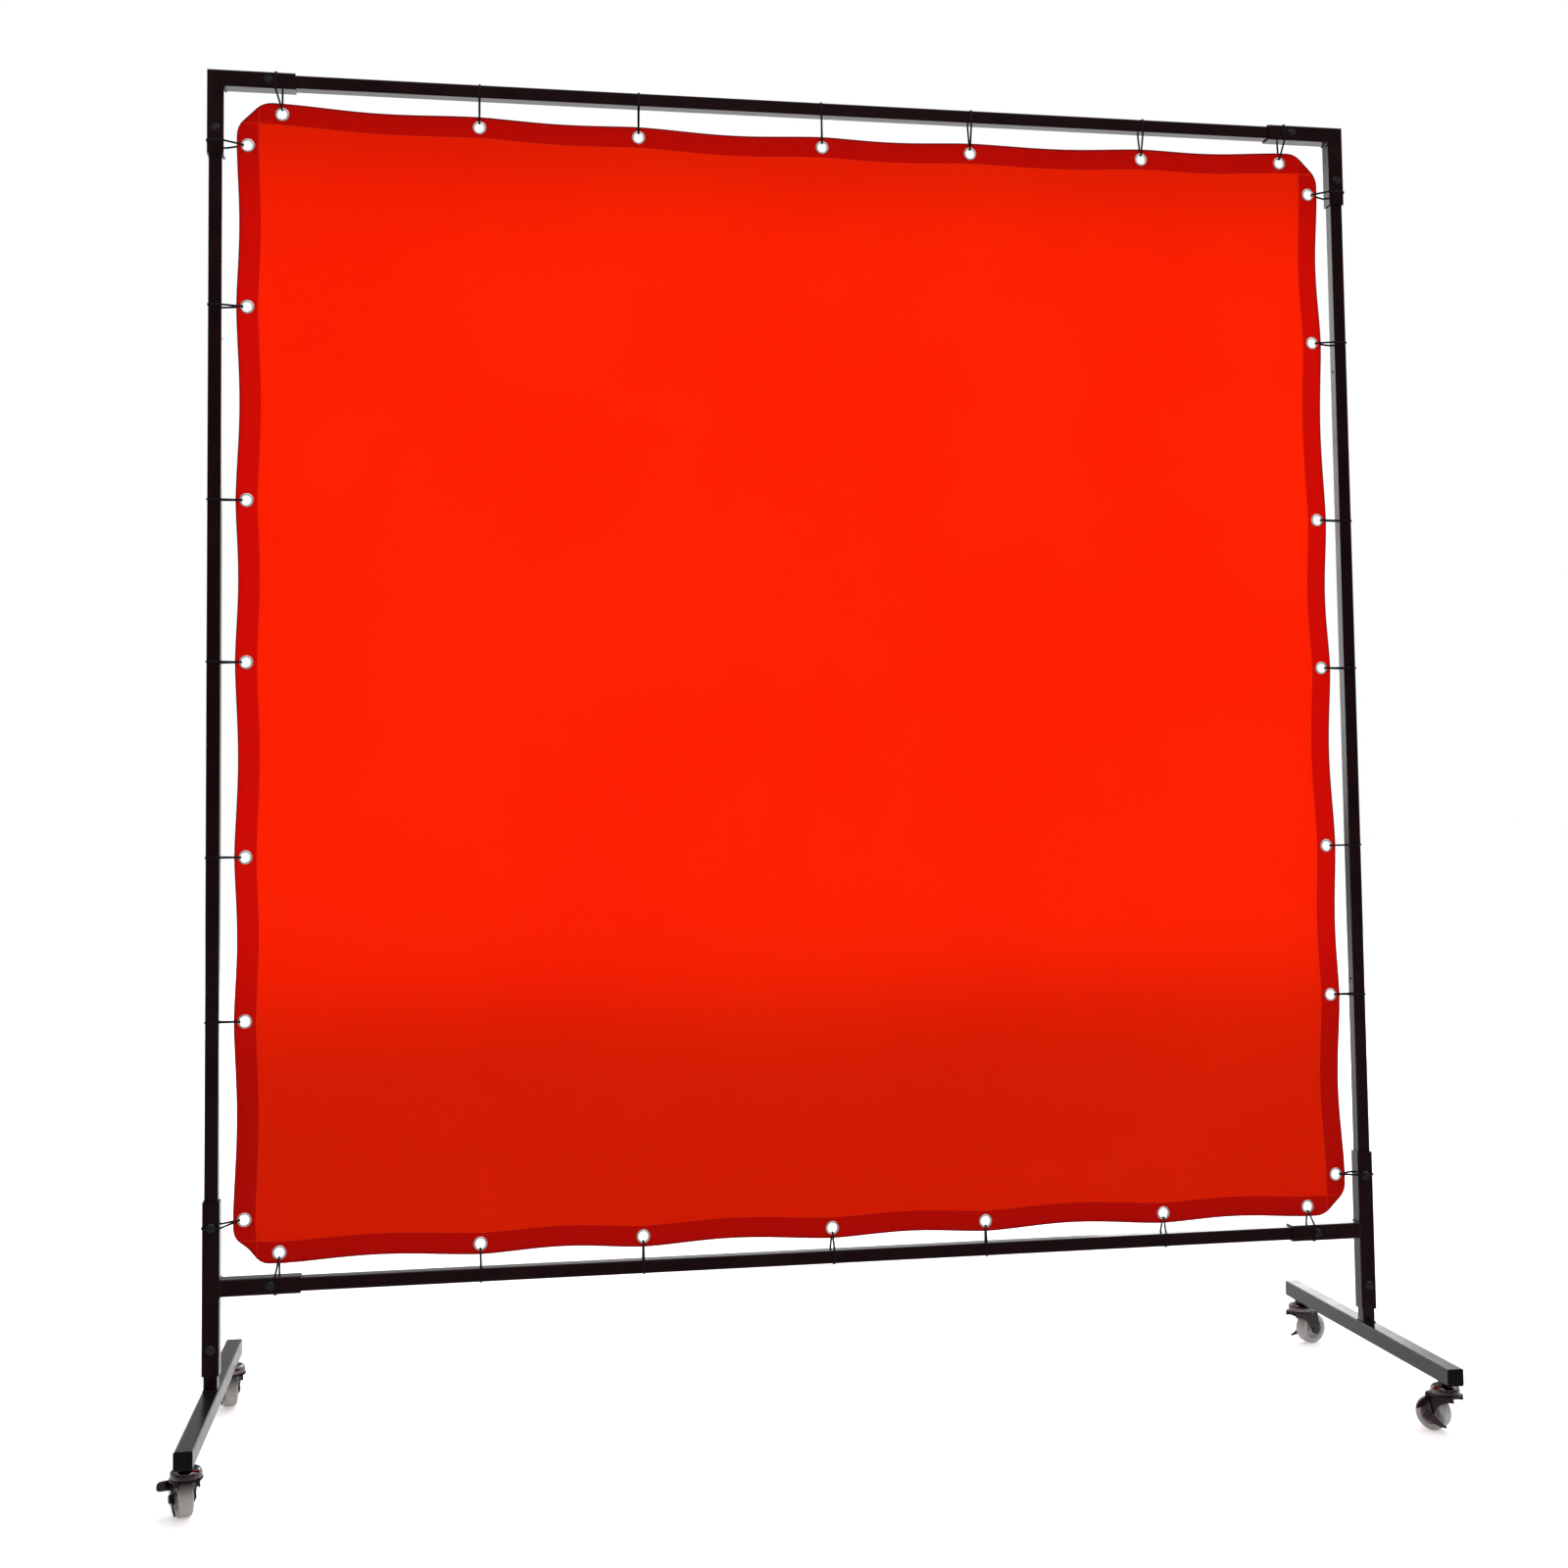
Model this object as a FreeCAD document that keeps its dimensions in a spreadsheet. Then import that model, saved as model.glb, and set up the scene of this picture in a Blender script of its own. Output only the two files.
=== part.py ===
import FreeCAD, Part
import math
import os
import types

import Sketcher
from FreeCAD import Placement, Rotation, Vector

# Mobile welding curtain screen: a knock-down frame of square steel tube on four braked casters, with a
# PVC curtain tied into it through eyelets.
# Millimetres.  +Z is up, X runs along the width and the front is -Y.  The origin is on the floor under
# the middle of the frame.

DIMENSIONS = (
    ("frame_width", 1800, "upright axis to upright axis"),
    ("rail_spacing", 1800, "lower rail axis to top rail axis"),
    ("tube_side", 20, "square tube of the rails, uprights and foot posts"),
    ("tube_wall", 1.5, "their wall"),
    ("tube_corner", 2, "their outer corner radius"),
    ("sleeve_side", 25, "square tube of the elbows, tees and feet"),
    ("sleeve_wall", 2, "its wall"),
    ("sleeve_corner", 2.5, "its outer corner radius"),
    ("end_gap", 14, "axis of one tube to the end of the tube that meets it"),
    ("butt_gap", 2, "half the gap between an upright and the foot post below it"),
    ("elbow_leg", 130, "elbow leg from the outer corner"),
    ("elbow_bolt", 90, "elbow bolt from the outer corner"),
    ("tee_length", 250, "tee sleeve"),
    ("tee_bolt", 87.5, "tee bolt from the lower rail axis"),
    ("stub_reach", 127.5, "end of the tee stub from the upright axis"),
    ("stub_bolt", 85, "stub bolt from the upright axis"),
    ("post_show", 22, "foot post that shows between tee and foot"),
    ("peg_hole", 5, "holes in the inner faces of the uprights"),
    ("peg_low", 403, "lower peg hole above the lower rail axis"),
    ("peg_high", 1403, "upper peg hole above the lower rail axis"),
    ("bolt_hole", 6.5, "drilling for the frame bolts"),
    ("bolt_size", 6, "frame bolt"),
    ("bolt_flats", 10, "across flats of its head and nut"),
    ("bolt_head", 4.2, "height of its head above the flange"),
    ("bolt_flange", 13.4, "flange diameter under head and nut"),
    ("bolt_flange_depth", 1.3, "flange thickness"),
    ("nut_height", 5, "nut above its flange"),
    ("foot_length", 550, "foot over its end caps"),
    ("cap_depth", 2, "head of an end cap"),
    ("cap_plug", 12, "plug of an end cap inside the tube"),
    ("curtain_width", 1740, "curtain, flat"),
    ("curtain_height", 1740, "curtain, flat"),
    ("curtain_depth", 1.2, "curtain with its doubled hem"),
    ("corner_cut", 38, "cut-off corner of the curtain"),
    ("eyelet_inset", 16, "eyelet centre from the curtain edge"),
    ("long_pitch", 292, "longer eyelet spacing"),
    ("short_pitch", 244, "shorter eyelet spacing"),
    ("eyelet_hole", 14.4, "hole through an eyelet"),
    ("eyelet_barrel", 16, "barrel of an eyelet, and the hole punched for it"),
    ("eyelet_outer", 20.8, "eyelet over its flanges"),
    ("eyelet_flange", 0.7, "flange thickness"),
    ("tie_width", 3, "cable tie"),
    ("tie_depth", 1.2, "cable tie"),
    ("tie_head", 5, "cable tie head"),
    ("caster_height", 75, "floor to the underside of the foot"),
    ("caster_inset", 32, "swivel axis from the end of the foot"),
    ("trail", 20, "swivel axis to axle"),
    ("wheel_size", 50, "wheel diameter"),
    ("wheel_width", 20, "tyre width"),
    ("rim_radius", 19, "rim under the tyre"),
    ("hub_length", 23.2, "hub between the fork legs"),
    ("axle_size", 8, "axle and kingpin"),
    ("axle_head", 13, "axle head"),
    ("running_fit", 0.05, "radial clearance of everything that turns on a pin"),
    ("fork_gap", 25, "between the fork legs"),
    ("fork_plate", 2, "fork leg plate"),
    ("crown_height", 54.5, "underside of the fork crown above the floor"),
    ("crown_plate", 2.5, "fork crown plate"),
    ("crown_size", 44, "fork crown diameter"),
    ("boss_size", 33, "lower ball race on the crown"),
    ("boss_height", 7.8, "lower ball race above the crown's underside"),
    ("leg_end", 8, "radius of a fork leg's end"),
    ("cup_size", 42, "upper ball race diameter"),
    ("cup_plate", 1.8, "upper ball race wall"),
    ("cup_skirt", 11, "upper ball race height"),
    ("cup_round", 6, "upper ball race shoulder radius"),
    ("ball_size", 4.8, "swivel balls"),
    ("ball_circle", 25, "circle of the swivel balls"),
    ("stud_size", 10, "threaded stud that holds the caster in the foot"),
    ("stud_hole", 11, "hole for it in the foot"),
    ("stud_height", 13, "stud above the underside of the foot"),
    ("stud_flats", 17, "across flats of the stud's collar and nut"),
    ("collar_height", 6, "collar between foot and upper race"),
    ("lever_plate", 2, "brake lever plate"),
    ("lever_gap", 0.5, "brake lever to fork leg"),
    ("lever_hub", 8.5, "radius of the lever round the axle"),
    ("tread_length", 18, "brake tread out from the lever"),
    ("swivel_front_left", 108, "trail direction, degrees from +X"),
    ("swivel_front_right", 122, "trail direction, degrees from +X"),
    ("swivel_rear_left", 106, "trail direction, degrees from +X"),
    ("swivel_rear_right", 15, "trail direction, degrees from +X"),
)
BALLS = 10
HEX_SIDES = 6


class Size:
    """A length that carries its value and the formula that binds it to the sheet."""

    def __init__(self, value, formula=None):
        self.value = float(value)
        self.formula = formula or repr(float(value))

    def _join(self, other, sign, work):
        other = other if isinstance(other, Size) else Size(other)
        return Size(work(self.value, other.value), f"({self.formula} {sign} {other.formula})")

    def __add__(self, other):
        return self._join(other, "+", lambda a, b: a + b)

    def __sub__(self, other):
        return self._join(other, "-", lambda a, b: a - b)

    def __mul__(self, other):
        return self._join(other, "*", lambda a, b: a * b)

    def __truediv__(self, other):
        return self._join(other, "/", lambda a, b: a / b)

    def __neg__(self):
        return Size(0) - self


doc = FreeCAD.newDocument("welding_curtain_screen")
sheet = doc.addObject("Spreadsheet::Sheet", "sizes")
dim = types.SimpleNamespace()
for row, (alias, number, note) in enumerate(DIMENSIONS, 1):
    sheet.set(f"A{row}", note)
    sheet.set(f"B{row}", str(number))
    sheet.setAlias(f"B{row}", alias)
    setattr(dim, alias, Size(number, f"sizes.{alias}"))
doc.recompute()

X, Y, Z = Vector(1, 0, 0), Vector(0, 1, 0), Vector(0, 0, 1)
NOWHERE = Size(0)
pieces = []

# Heights and places that several pieces share.
foot_top = dim.caster_height + dim.sleeve_side
lower_axis = foot_top + dim.post_show + dim.tee_length / 2
top_axis = lower_axis + dim.rail_spacing
middle = lower_axis + dim.rail_spacing / 2
upright_x = dim.frame_width / 2
half_sleeve = dim.sleeve_side / 2
outer_top = top_axis + half_sleeve


def turned(x_way, z_way):
    """The rotation that points a piece's own X and Z the given ways."""
    return Rotation(x_way, z_way.cross(x_way), z_way, "ZXY")


def put(piece, x, y, z, turn=Rotation()):
    """Places a piece, its position bound to the sheet."""
    piece.Placement = Placement(Vector(x.value, y.value, z.value), turn)
    for axis, place in (("x", x), ("y", y), ("z", z)):
        piece.setExpression(f"Placement.Base.{axis}", place.formula)


def new_body(name):
    body = doc.addObject("PartDesign::Body", name)
    body.Label = name
    pieces.append(body)
    return body


def new_sketch(body, plane, name):
    face = next(f for f in body.Origin.OriginFeatures if f.Role == plane)
    sketch = body.newObject("Sketcher::SketchObject", f"{body.Name}_{name}")
    sketch.AttachmentSupport = [(face, "")]
    sketch.MapMode = "FlatFace"
    return sketch


def bind(sketch, kind, where, size, tag):
    """Adds one driving constraint and binds it to the sheet."""
    number = sketch.addConstraint(Sketcher.Constraint(kind, *where, size.value))
    sketch.renameConstraint(number, tag)
    sketch.setExpression(f"Constraints.{tag}", size.formula)


def draw_square(sketch, side, tag):
    """A square about the sketch's origin."""
    half = side.value / 2
    corners = [Vector(-half, -half), Vector(half, -half), Vector(half, half), Vector(-half, half)]
    first = sketch.GeometryCount
    for i in range(4):
        sketch.addGeometry(Part.LineSegment(corners[i], corners[(i + 1) % 4]))
    for i in range(4):
        sketch.addConstraint(Sketcher.Constraint("Coincident", first + i, 2, first + (i + 1) % 4, 1))
        kind = "Vertical" if i % 2 else "Horizontal"
        sketch.addConstraint(Sketcher.Constraint(kind, first + i))
    sketch.addConstraint(Sketcher.Constraint("Equal", first, first + 1))
    sketch.addConstraint(Sketcher.Constraint("Symmetric", first, 1, first + 1, 2, -1, 1))
    bind(sketch, "DistanceX", (first, 1, first, 2), side, tag)


def draw_circle(sketch, x, y, radius, tag):
    at = sketch.addGeometry(Part.Circle(Vector(x.value, y.value, 0), Z, radius.value))
    bind(sketch, "DistanceX", (-1, 1, at, 3), x, f"{tag}_x")
    bind(sketch, "DistanceY", (-1, 1, at, 3), y, f"{tag}_y")
    bind(sketch, "Radius", (at,), radius, f"{tag}_r")


def draw_outline(sketch, points, arcs=None):
    """A closed outline.  arcs gives a radius for the side that starts at a point: a positive one bulges to
    the right of the way along, a negative one to the left."""
    arcs = arcs or {}
    count = len(points)
    spots = [Vector(x.value, y.value, 0) for x, y in points]
    ends = []
    for i in range(count):
        start, end = spots[i], spots[(i + 1) % count]
        if i not in arcs:
            sketch.addGeometry(Part.LineSegment(start, end))
            ends.append((1, 2))
            continue
        radius = arcs[i].value
        chord = end - start
        aside = Z.cross(chord).normalize() * math.copysign(1, radius)
        centre = (start + end) / 2 + aside * math.sqrt(radius**2 - (chord.Length / 2) ** 2)
        round_edge = Part.Circle(centre, Z, abs(radius))
        begin, finish = (round_edge.parameter(spot) for spot in (start, end))
        forward = radius > 0
        first, last = (begin, finish) if forward else (finish, begin)
        sketch.addGeometry(Part.ArcOfCircle(round_edge, first, last))
        ends.append((1, 2) if forward else (2, 1))
    for i in range(count):
        after = (i + 1) % count
        sketch.addConstraint(Sketcher.Constraint("Coincident", i, ends[i][1], after, ends[after][0]))
    for i, (x, y) in enumerate(points):
        bind(sketch, "DistanceX", (-1, 1, i, ends[i][0]), x, f"x{i}")
        bind(sketch, "DistanceY", (-1, 1, i, ends[i][0]), y, f"y{i}")
    for i, radius in arcs.items():
        size = radius if radius.value > 0 else -radius
        bind(sketch, "Radius", (i,), size, f"arc{i}")


def pad(body, sketch, length, both_ways=False, backwards=False):
    feature = body.newObject("PartDesign::Pad", f"{sketch.Name}_pad")
    feature.Profile = sketch
    feature.SideType = "Symmetric" if both_ways else "One side"
    feature.Reversed = backwards
    feature.Length = length.value
    feature.setExpression("Length", length.formula)
    return feature


def pocket(body, sketch, length=None, backwards=False):
    """Cuts length deep, or right through both ways."""
    feature = body.newObject("PartDesign::Pocket", f"{sketch.Name}_cut")
    feature.Profile = sketch
    if length is None:
        feature.Type = "ThroughAll"
        feature.SideType = "Symmetric"
    else:
        feature.Reversed = backwards
        feature.Length = length.value
        feature.setExpression("Length", length.formula)
    return feature


def revolve(body, points, plane="XZ_Plane", arcs=None):
    """Turns an outline about the sketch's vertical axis."""
    sketch = new_sketch(body, plane, "profile")
    draw_outline(sketch, points, arcs)
    feature = body.newObject("PartDesign::Revolution", f"{sketch.Name}_turn")
    feature.Profile = sketch
    feature.ReferenceAxis = (sketch, ["V_Axis"])
    feature.Angle = 360
    return feature


def round_edges(body, feature, radius, wanted):
    """Fillets the edges of a feature that wanted(edge) picks."""
    doc.recompute()
    names = [f"Edge{i}" for i, edge in enumerate(feature.Shape.Edges, 1) if wanted(edge)]
    fillet = body.newObject("PartDesign::Fillet", f"{feature.Name}_round")
    fillet.Base = (feature, names)
    fillet.Radius = radius.value
    fillet.setExpression("Radius", radius.formula)


def square_tube(name, side, wall, corner, length):
    """A square tube along its own Z, from zero up, with rounded outer corners."""
    body = new_body(name)
    section = new_sketch(body, "XY_Plane", "section")
    draw_square(section, side, "outer")
    draw_square(section, side - wall * 2, "inner")
    tube = pad(body, section, length)

    def is_corner(edge):
        ends = [v.Point for v in edge.Vertexes]
        along = abs(ends[0].z - ends[-1].z) > side.value
        outside = all(abs(abs(p.x) - side.value / 2) < wall.value / 2 for p in ends)
        return along and outside

    round_edges(body, tube, corner, is_corner)
    return body


def drill_across(body, diameter, heights):
    """Holes along the piece's own Y, through both walls."""
    sketch = new_sketch(body, "XZ_Plane", "drilling")
    for i, height in enumerate(heights):
        draw_circle(sketch, NOWHERE, height, diameter / 2, f"hole{i}")
    pocket(body, sketch)


def group(name, shapes):
    """Like pieces that share one node, each a solid of its own."""
    piece = doc.addObject("Part::Feature", name)
    piece.Label = name
    piece.Shape = Part.makeCompound(shapes)
    pieces.append(piece)


def moved(shape, place, turn=Rotation()):
    copy = shape.copy()
    copy.Placement = Placement(place, turn)
    return copy


def hexagon(flats, low, height):
    """A hexagonal prism about Z."""
    reach = flats / 2 / math.cos(math.pi / HEX_SIDES)
    turns = [2 * math.pi * i / HEX_SIDES for i in range(HEX_SIDES)]
    corners = [Vector(reach * math.cos(a), reach * math.sin(a), low) for a in turns]
    return Part.Face(Part.makePolygon(corners + corners[:1])).extrude(Z * height)


def eased(prism, flats, low, high, both_ends=False):
    """A hexagon with its corners turned off at the outer end, or at both."""
    radius = flats / 2
    tall = high - low
    spare = flats * 0.16
    cone = Part.makeCone(radius + tall + spare, radius + spare / 3, tall + spare / 3, Vector(0, 0, low))
    shape = prism.common(cone)
    if both_ends:
        under = Vector(0, 0, high)
        shape = shape.common(Part.makeCone(radius + tall + spare, radius + spare / 3, tall + spare / 3, under, -Z))
    return shape


# ---------------------------------------------------------------------------------------------------
# Rails and uprights: four lengths of square tube that slide into the sleeves.
# ---------------------------------------------------------------------------------------------------
TUBE = (dim.tube_side, dim.tube_wall, dim.tube_corner)
SLEEVE = (dim.sleeve_side, dim.sleeve_wall, dim.sleeve_corner)
rail_length = dim.frame_width - dim.end_gap * 2
elbow_bolt_in = dim.elbow_bolt - half_sleeve
along_x = turned(-Z, X)
for name, height, bolt_in in (
    ("top_rail", top_axis, elbow_bolt_in),
    ("lower_rail", lower_axis, dim.stub_bolt),
):
    rail = square_tube(name, *TUBE, rail_length)
    near = bolt_in - dim.end_gap
    drill_across(rail, dim.bolt_hole, (near, rail_length - near))
    put(rail, -upright_x + dim.end_gap, NOWHERE, height, along_x)

upright_length = dim.rail_spacing - dim.end_gap - dim.butt_gap
SIDES = (("left", -upright_x, X), ("right", upright_x, -X))
for side, place, inward in SIDES:
    upright = square_tube(f"upright_{side}", *TUBE, upright_length)
    drill_across(
        upright,
        dim.bolt_hole,
        (dim.tee_bolt - dim.butt_gap, upright_length + dim.end_gap - elbow_bolt_in),
    )
    pegs = new_sketch(upright, "YZ_Plane", "pegs")
    for tag, height in (("low", dim.peg_low), ("high", dim.peg_high)):
        draw_circle(pegs, NOWHERE, height - dim.butt_gap, dim.peg_hole / 2, tag)
    pocket(upright, pegs, dim.tube_side, backwards=True)
    put(upright, place, NOWHERE, lower_axis + dim.butt_gap, turned(inward, Z))

# ---------------------------------------------------------------------------------------------------
# Elbows: two mitred lengths of larger tube welded at the outer corner.
# ---------------------------------------------------------------------------------------------------
leg = dim.elbow_leg
over = dim.sleeve_wall / 2


def mitred_leg(name):
    """An elbow leg along Z that ends at the outer corner, its inner side towards +X."""
    body = square_tube(name, *SLEEVE, leg)
    drill_across(body, dim.bolt_hole, (leg - dim.elbow_bolt,))
    mitre = new_sketch(body, "XZ_Plane", "mitre")
    far = half_sleeve + over
    draw_outline(
        mitre,
        ((-far, leg + over), (far, leg - dim.sleeve_side - over), (far, leg + over)),
    )
    pocket(body, mitre)
    return body


for side, place, inward in SIDES:
    upper = mitred_leg(f"elbow_{side}_vertical")
    put(upper, place, NOWHERE, outer_top - leg, turned(inward, Z))
    across = mitred_leg(f"elbow_{side}_horizontal")
    outward = 1 if place.value > 0 else -1
    put(across, place + (half_sleeve - leg) * outward, NOWHERE, top_axis, turned(-Z, -inward))

# ---------------------------------------------------------------------------------------------------
# Tees: a sleeve that joins upright to foot post, with a stub for the lower rail welded to its side.
# ---------------------------------------------------------------------------------------------------
stub_length = dim.stub_reach - half_sleeve
tee_middle = dim.tee_length / 2
for side, place, inward in SIDES:
    sleeve = square_tube(f"tee_{side}_sleeve", *SLEEVE, dim.tee_length)
    drill_across(sleeve, dim.bolt_hole, (tee_middle - dim.tee_bolt, tee_middle + dim.tee_bolt))
    put(sleeve, place, NOWHERE, lower_axis - tee_middle)
    stub = square_tube(f"tee_{side}_stub", *SLEEVE, stub_length)
    drill_across(stub, dim.bolt_hole, (dim.stub_bolt - half_sleeve,))
    inner = place + half_sleeve * (1 if inward.x > 0 else -1)
    put(stub, inner, NOWHERE, lower_axis, turned(-Z, inward))

# ---------------------------------------------------------------------------------------------------
# Feet: a tube along Y with a post welded on top, which plugs into the tee from below.
# ---------------------------------------------------------------------------------------------------
foot_tube_length = dim.foot_length - dim.cap_depth * 2
post_length = lower_axis - dim.butt_gap - foot_top
stud_in = dim.caster_inset - dim.cap_depth
for side, place, inward in SIDES:
    foot = square_tube(f"foot_{side}_tube", *SLEEVE, foot_tube_length)
    studs = new_sketch(foot, "XZ_Plane", "studs")
    for tag, height in (("front", stud_in), ("rear", foot_tube_length - stud_in)):
        draw_circle(studs, NOWHERE, height, dim.stud_hole / 2, tag)
    pocket(foot, studs, dim.sleeve_side)
    put(foot, place, -foot_tube_length / 2, foot_top - half_sleeve, turned(X, Y))
    post = square_tube(f"foot_{side}_post", *TUBE, post_length)
    drill_across(post, dim.bolt_hole, (lower_axis - dim.tee_bolt - foot_top,))
    put(post, place, NOWHERE, foot_top)


def end_cap():
    """A moulded cap: a head the size of the tube and a hollow plug behind it, along +Y."""
    side = dim.sleeve_side.value
    room = side - 2 * dim.sleeve_wall.value
    head = Part.makeBox(side, dim.cap_depth.value, side, Vector(-side / 2, 0, -side / 2))
    head = head.makeFillet(dim.sleeve_corner.value, [e for e in head.Edges if abs(e.tangentAt(0).y) > 0.9])
    depth = dim.cap_depth.value + dim.cap_plug.value
    plug = Part.makeBox(room, depth, room, Vector(-room / 2, 0, -room / 2))
    hollow = room - 2 * dim.sleeve_wall.value
    space = Part.makeBox(hollow, depth, hollow, Vector(-hollow / 2, dim.cap_depth.value, -hollow / 2))
    return head.fuse(plug).cut(space).removeSplitter()


cap = end_cap()
group(
    "foot_caps",
    [
        moved(
            cap,
            Vector(place.value, end * dim.foot_length.value / 2, (foot_top - half_sleeve).value),
            Rotation(Z, 0 if end < 0 else 180),
        )
        for side, place, inward in SIDES
        for end in (-1, 1)
    ],
)

# ---------------------------------------------------------------------------------------------------
# Frame bolts: flanged hexagon bolts from the front, flanged nuts behind.
# ---------------------------------------------------------------------------------------------------
FLATS, FLANGE_R, FLANGE_T = dim.bolt_flats.value, dim.bolt_flange.value / 2, dim.bolt_flange_depth.value
SHANK_R, HEAD_H, NUT_H = dim.bolt_size.value / 2, dim.bolt_head.value, dim.nut_height.value
THREAD_SHOWS = 1.5


def frame_bolt():
    """A bolt along +Z from under its head at zero."""
    grip = dim.sleeve_side.value + FLANGE_T + NUT_H + THREAD_SHOWS
    head = eased(hexagon(FLATS, 0, HEAD_H + FLANGE_T), FLATS, 0, HEAD_H + FLANGE_T)
    flange = Part.makeCone(FLANGE_R, FLATS / 2, FLANGE_T)
    top = head.fuse(flange).removeSplitter()
    top.rotate(Vector(), X, 180)
    return top.fuse(Part.makeCylinder(SHANK_R, grip)).removeSplitter()


def frame_nut():
    """A nut along +Z from its flange at zero."""
    body = eased(hexagon(FLATS, 0, NUT_H + FLANGE_T), FLATS, 0, NUT_H + FLANGE_T)
    body = body.fuse(Part.makeCone(FLANGE_R, FLATS / 2, FLANGE_T)).removeSplitter()
    return body.cut(Part.makeCylinder(SHANK_R, NUT_H * 2))


bolt_places = []
for side, place, inward in SIDES:
    for x, z in (
        (place, outer_top - dim.elbow_bolt),
        (place + elbow_bolt_in * inward.x, top_axis),
        (place, lower_axis + dim.tee_bolt),
        (place, lower_axis - dim.tee_bolt),
        (place + dim.stub_bolt * inward.x, lower_axis),
    ):
        bolt_places.append((x.value, z.value))
bolt, nut = frame_bolt(), frame_nut()
front, back = -half_sleeve.value, half_sleeve.value
to_the_back = Rotation(Z, Y)
group("frame_bolts", [moved(bolt, Vector(x, front, z), to_the_back) for x, z in bolt_places])
group("frame_nuts", [moved(nut, Vector(x, back, z), to_the_back) for x, z in bolt_places])

# ---------------------------------------------------------------------------------------------------
# Curtain: one flat sheet with a doubled hem, cut corners and seven eyelets along each edge.
# ---------------------------------------------------------------------------------------------------
half_wide, half_high, cut = dim.curtain_width / 2, dim.curtain_height / 2, dim.corner_cut
pair = dim.long_pitch + dim.short_pitch
eyelet_steps = [-(pair * 1.5)]
for i in range(6):
    eyelet_steps.append(eyelet_steps[-1] + (dim.short_pitch if i % 2 else dim.long_pitch))
eyelet_x, eyelet_z = half_wide - dim.eyelet_inset, half_high - dim.eyelet_inset
eyelets = [(step, eyelet_z) for step in eyelet_steps]
eyelets += [(step, -eyelet_z) for step in eyelet_steps]
eyelets += [(-eyelet_x, step) for step in eyelet_steps]
eyelets += [(eyelet_x, step) for step in eyelet_steps]

curtain = new_body("curtain")
cloth = new_sketch(curtain, "XZ_Plane", "cloth")
draw_outline(
    cloth,
    (
        (-half_wide + cut, -half_high),
        (half_wide - cut, -half_high),
        (half_wide, -half_high + cut),
        (half_wide, half_high - cut),
        (half_wide - cut, half_high),
        (-half_wide + cut, half_high),
        (-half_wide, half_high - cut),
        (-half_wide, -half_high + cut),
    ),
)
pad(curtain, cloth, dim.curtain_depth, both_ways=True)
punching = new_sketch(curtain, "XZ_Plane", "punching")
for i, (x, z) in enumerate(eyelets):
    draw_circle(punching, x, z, dim.eyelet_barrel / 2, f"eyelet{i}")
pocket(curtain, punching)
put(curtain, NOWHERE, NOWHERE, middle)


def eyelet():
    """A rolled eyelet about Y: a barrel through the cloth and a flange on each face."""
    inside, barrel, outside = (d.value / 2 for d in (dim.eyelet_hole, dim.eyelet_barrel, dim.eyelet_outer))
    skin = dim.curtain_depth.value / 2
    rim = skin + dim.eyelet_flange.value
    profile = [
        (inside, -skin),
        (inside + rim - skin, -rim),
        (outside - (rim - skin) / 2, -rim),
        (outside, -skin),
        (barrel, -skin),
        (barrel, skin),
        (outside, skin),
        (outside - (rim - skin) / 2, rim),
        (inside + rim - skin, rim),
        (inside, skin),
    ]
    corners = [Vector(x, y, 0) for x, y in profile]
    return Part.Face(Part.makePolygon(corners + corners[:1])).revolve(Vector(), Y, 360)


ring = eyelet()
group("eyelets", [moved(ring, Vector(x.value, 0, (middle + z).value)) for x, z in eyelets])

# ---------------------------------------------------------------------------------------------------
# Cable ties: one round the tube and through each eyelet, its head behind the tube, clear of the nuts.  The
# outermost ones of each side go round the larger tube of an elbow or a tee.
# ---------------------------------------------------------------------------------------------------
THICK, WIDE, HEAD = dim.tie_depth.value, dim.tie_width.value, dim.tie_head.value
TIE_ROOM = 0.1
NOSE_HALF = 1.6
tube_to_eyelet = (upright_x - eyelet_x).value


def cable_tie(tube_side):
    """A tie round a tube along Z at the origin, reaching towards +X through an eyelet in the XZ plane."""
    nose = tube_to_eyelet - dim.eyelet_hole.value / 2 + THICK
    reach = tube_side.value / 2 + THICK / 2 + TIE_ROOM
    stops = [
        Vector(nose, -NOSE_HALF, 0),
        Vector(nose, NOSE_HALF, 0),
        Vector(reach, reach, 0),
        Vector(-reach, reach, 0),
        Vector(-reach, -reach, 0),
        Vector(reach, -reach, 0),
    ]
    loop = Part.makePolygon(stops + stops[:1])
    outer = Part.Face(loop.makeOffset2D(THICK / 2, 0))
    inner = Part.Face(loop.makeOffset2D(-THICK / 2, 2))
    band = outer.cut(inner).extrude(Z * WIDE)
    band.translate(Z * (-WIDE / 2))
    head = Part.makeBox(HEAD, HEAD * 0.8, HEAD, Vector(1 - reach, reach, -HEAD / 2))
    return band.fuse(head).removeSplitter()


def ties(places, turn):
    """Seven ties at the given places, the first and last of them round a sleeve."""
    last = len(places) - 1
    return [moved(sleeve_tie if i in (0, last) else tube_tie, spot, turn) for i, spot in enumerate(places)]


tube_tie, sleeve_tie = cable_tie(dim.tube_side), cable_tie(dim.sleeve_side)
LEFT, RIGHT, TOP, BOTTOM = -upright_x.value, upright_x.value, top_axis.value, lower_axis.value
steps = [step.value for step in eyelet_steps]
heights = [(middle + step).value for step in eyelet_steps]
group("ties_left", ties([Vector(LEFT, 0, z) for z in heights], turned(X, Z)))
group("ties_right", ties([Vector(RIGHT, 0, z) for z in heights], turned(-X, -Z)))
group("ties_top", ties([Vector(x, 0, TOP) for x in steps], turned(-Z, X)))
group("ties_bottom", ties([Vector(x, 0, BOTTOM) for x in steps], turned(Z, -X)))

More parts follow.
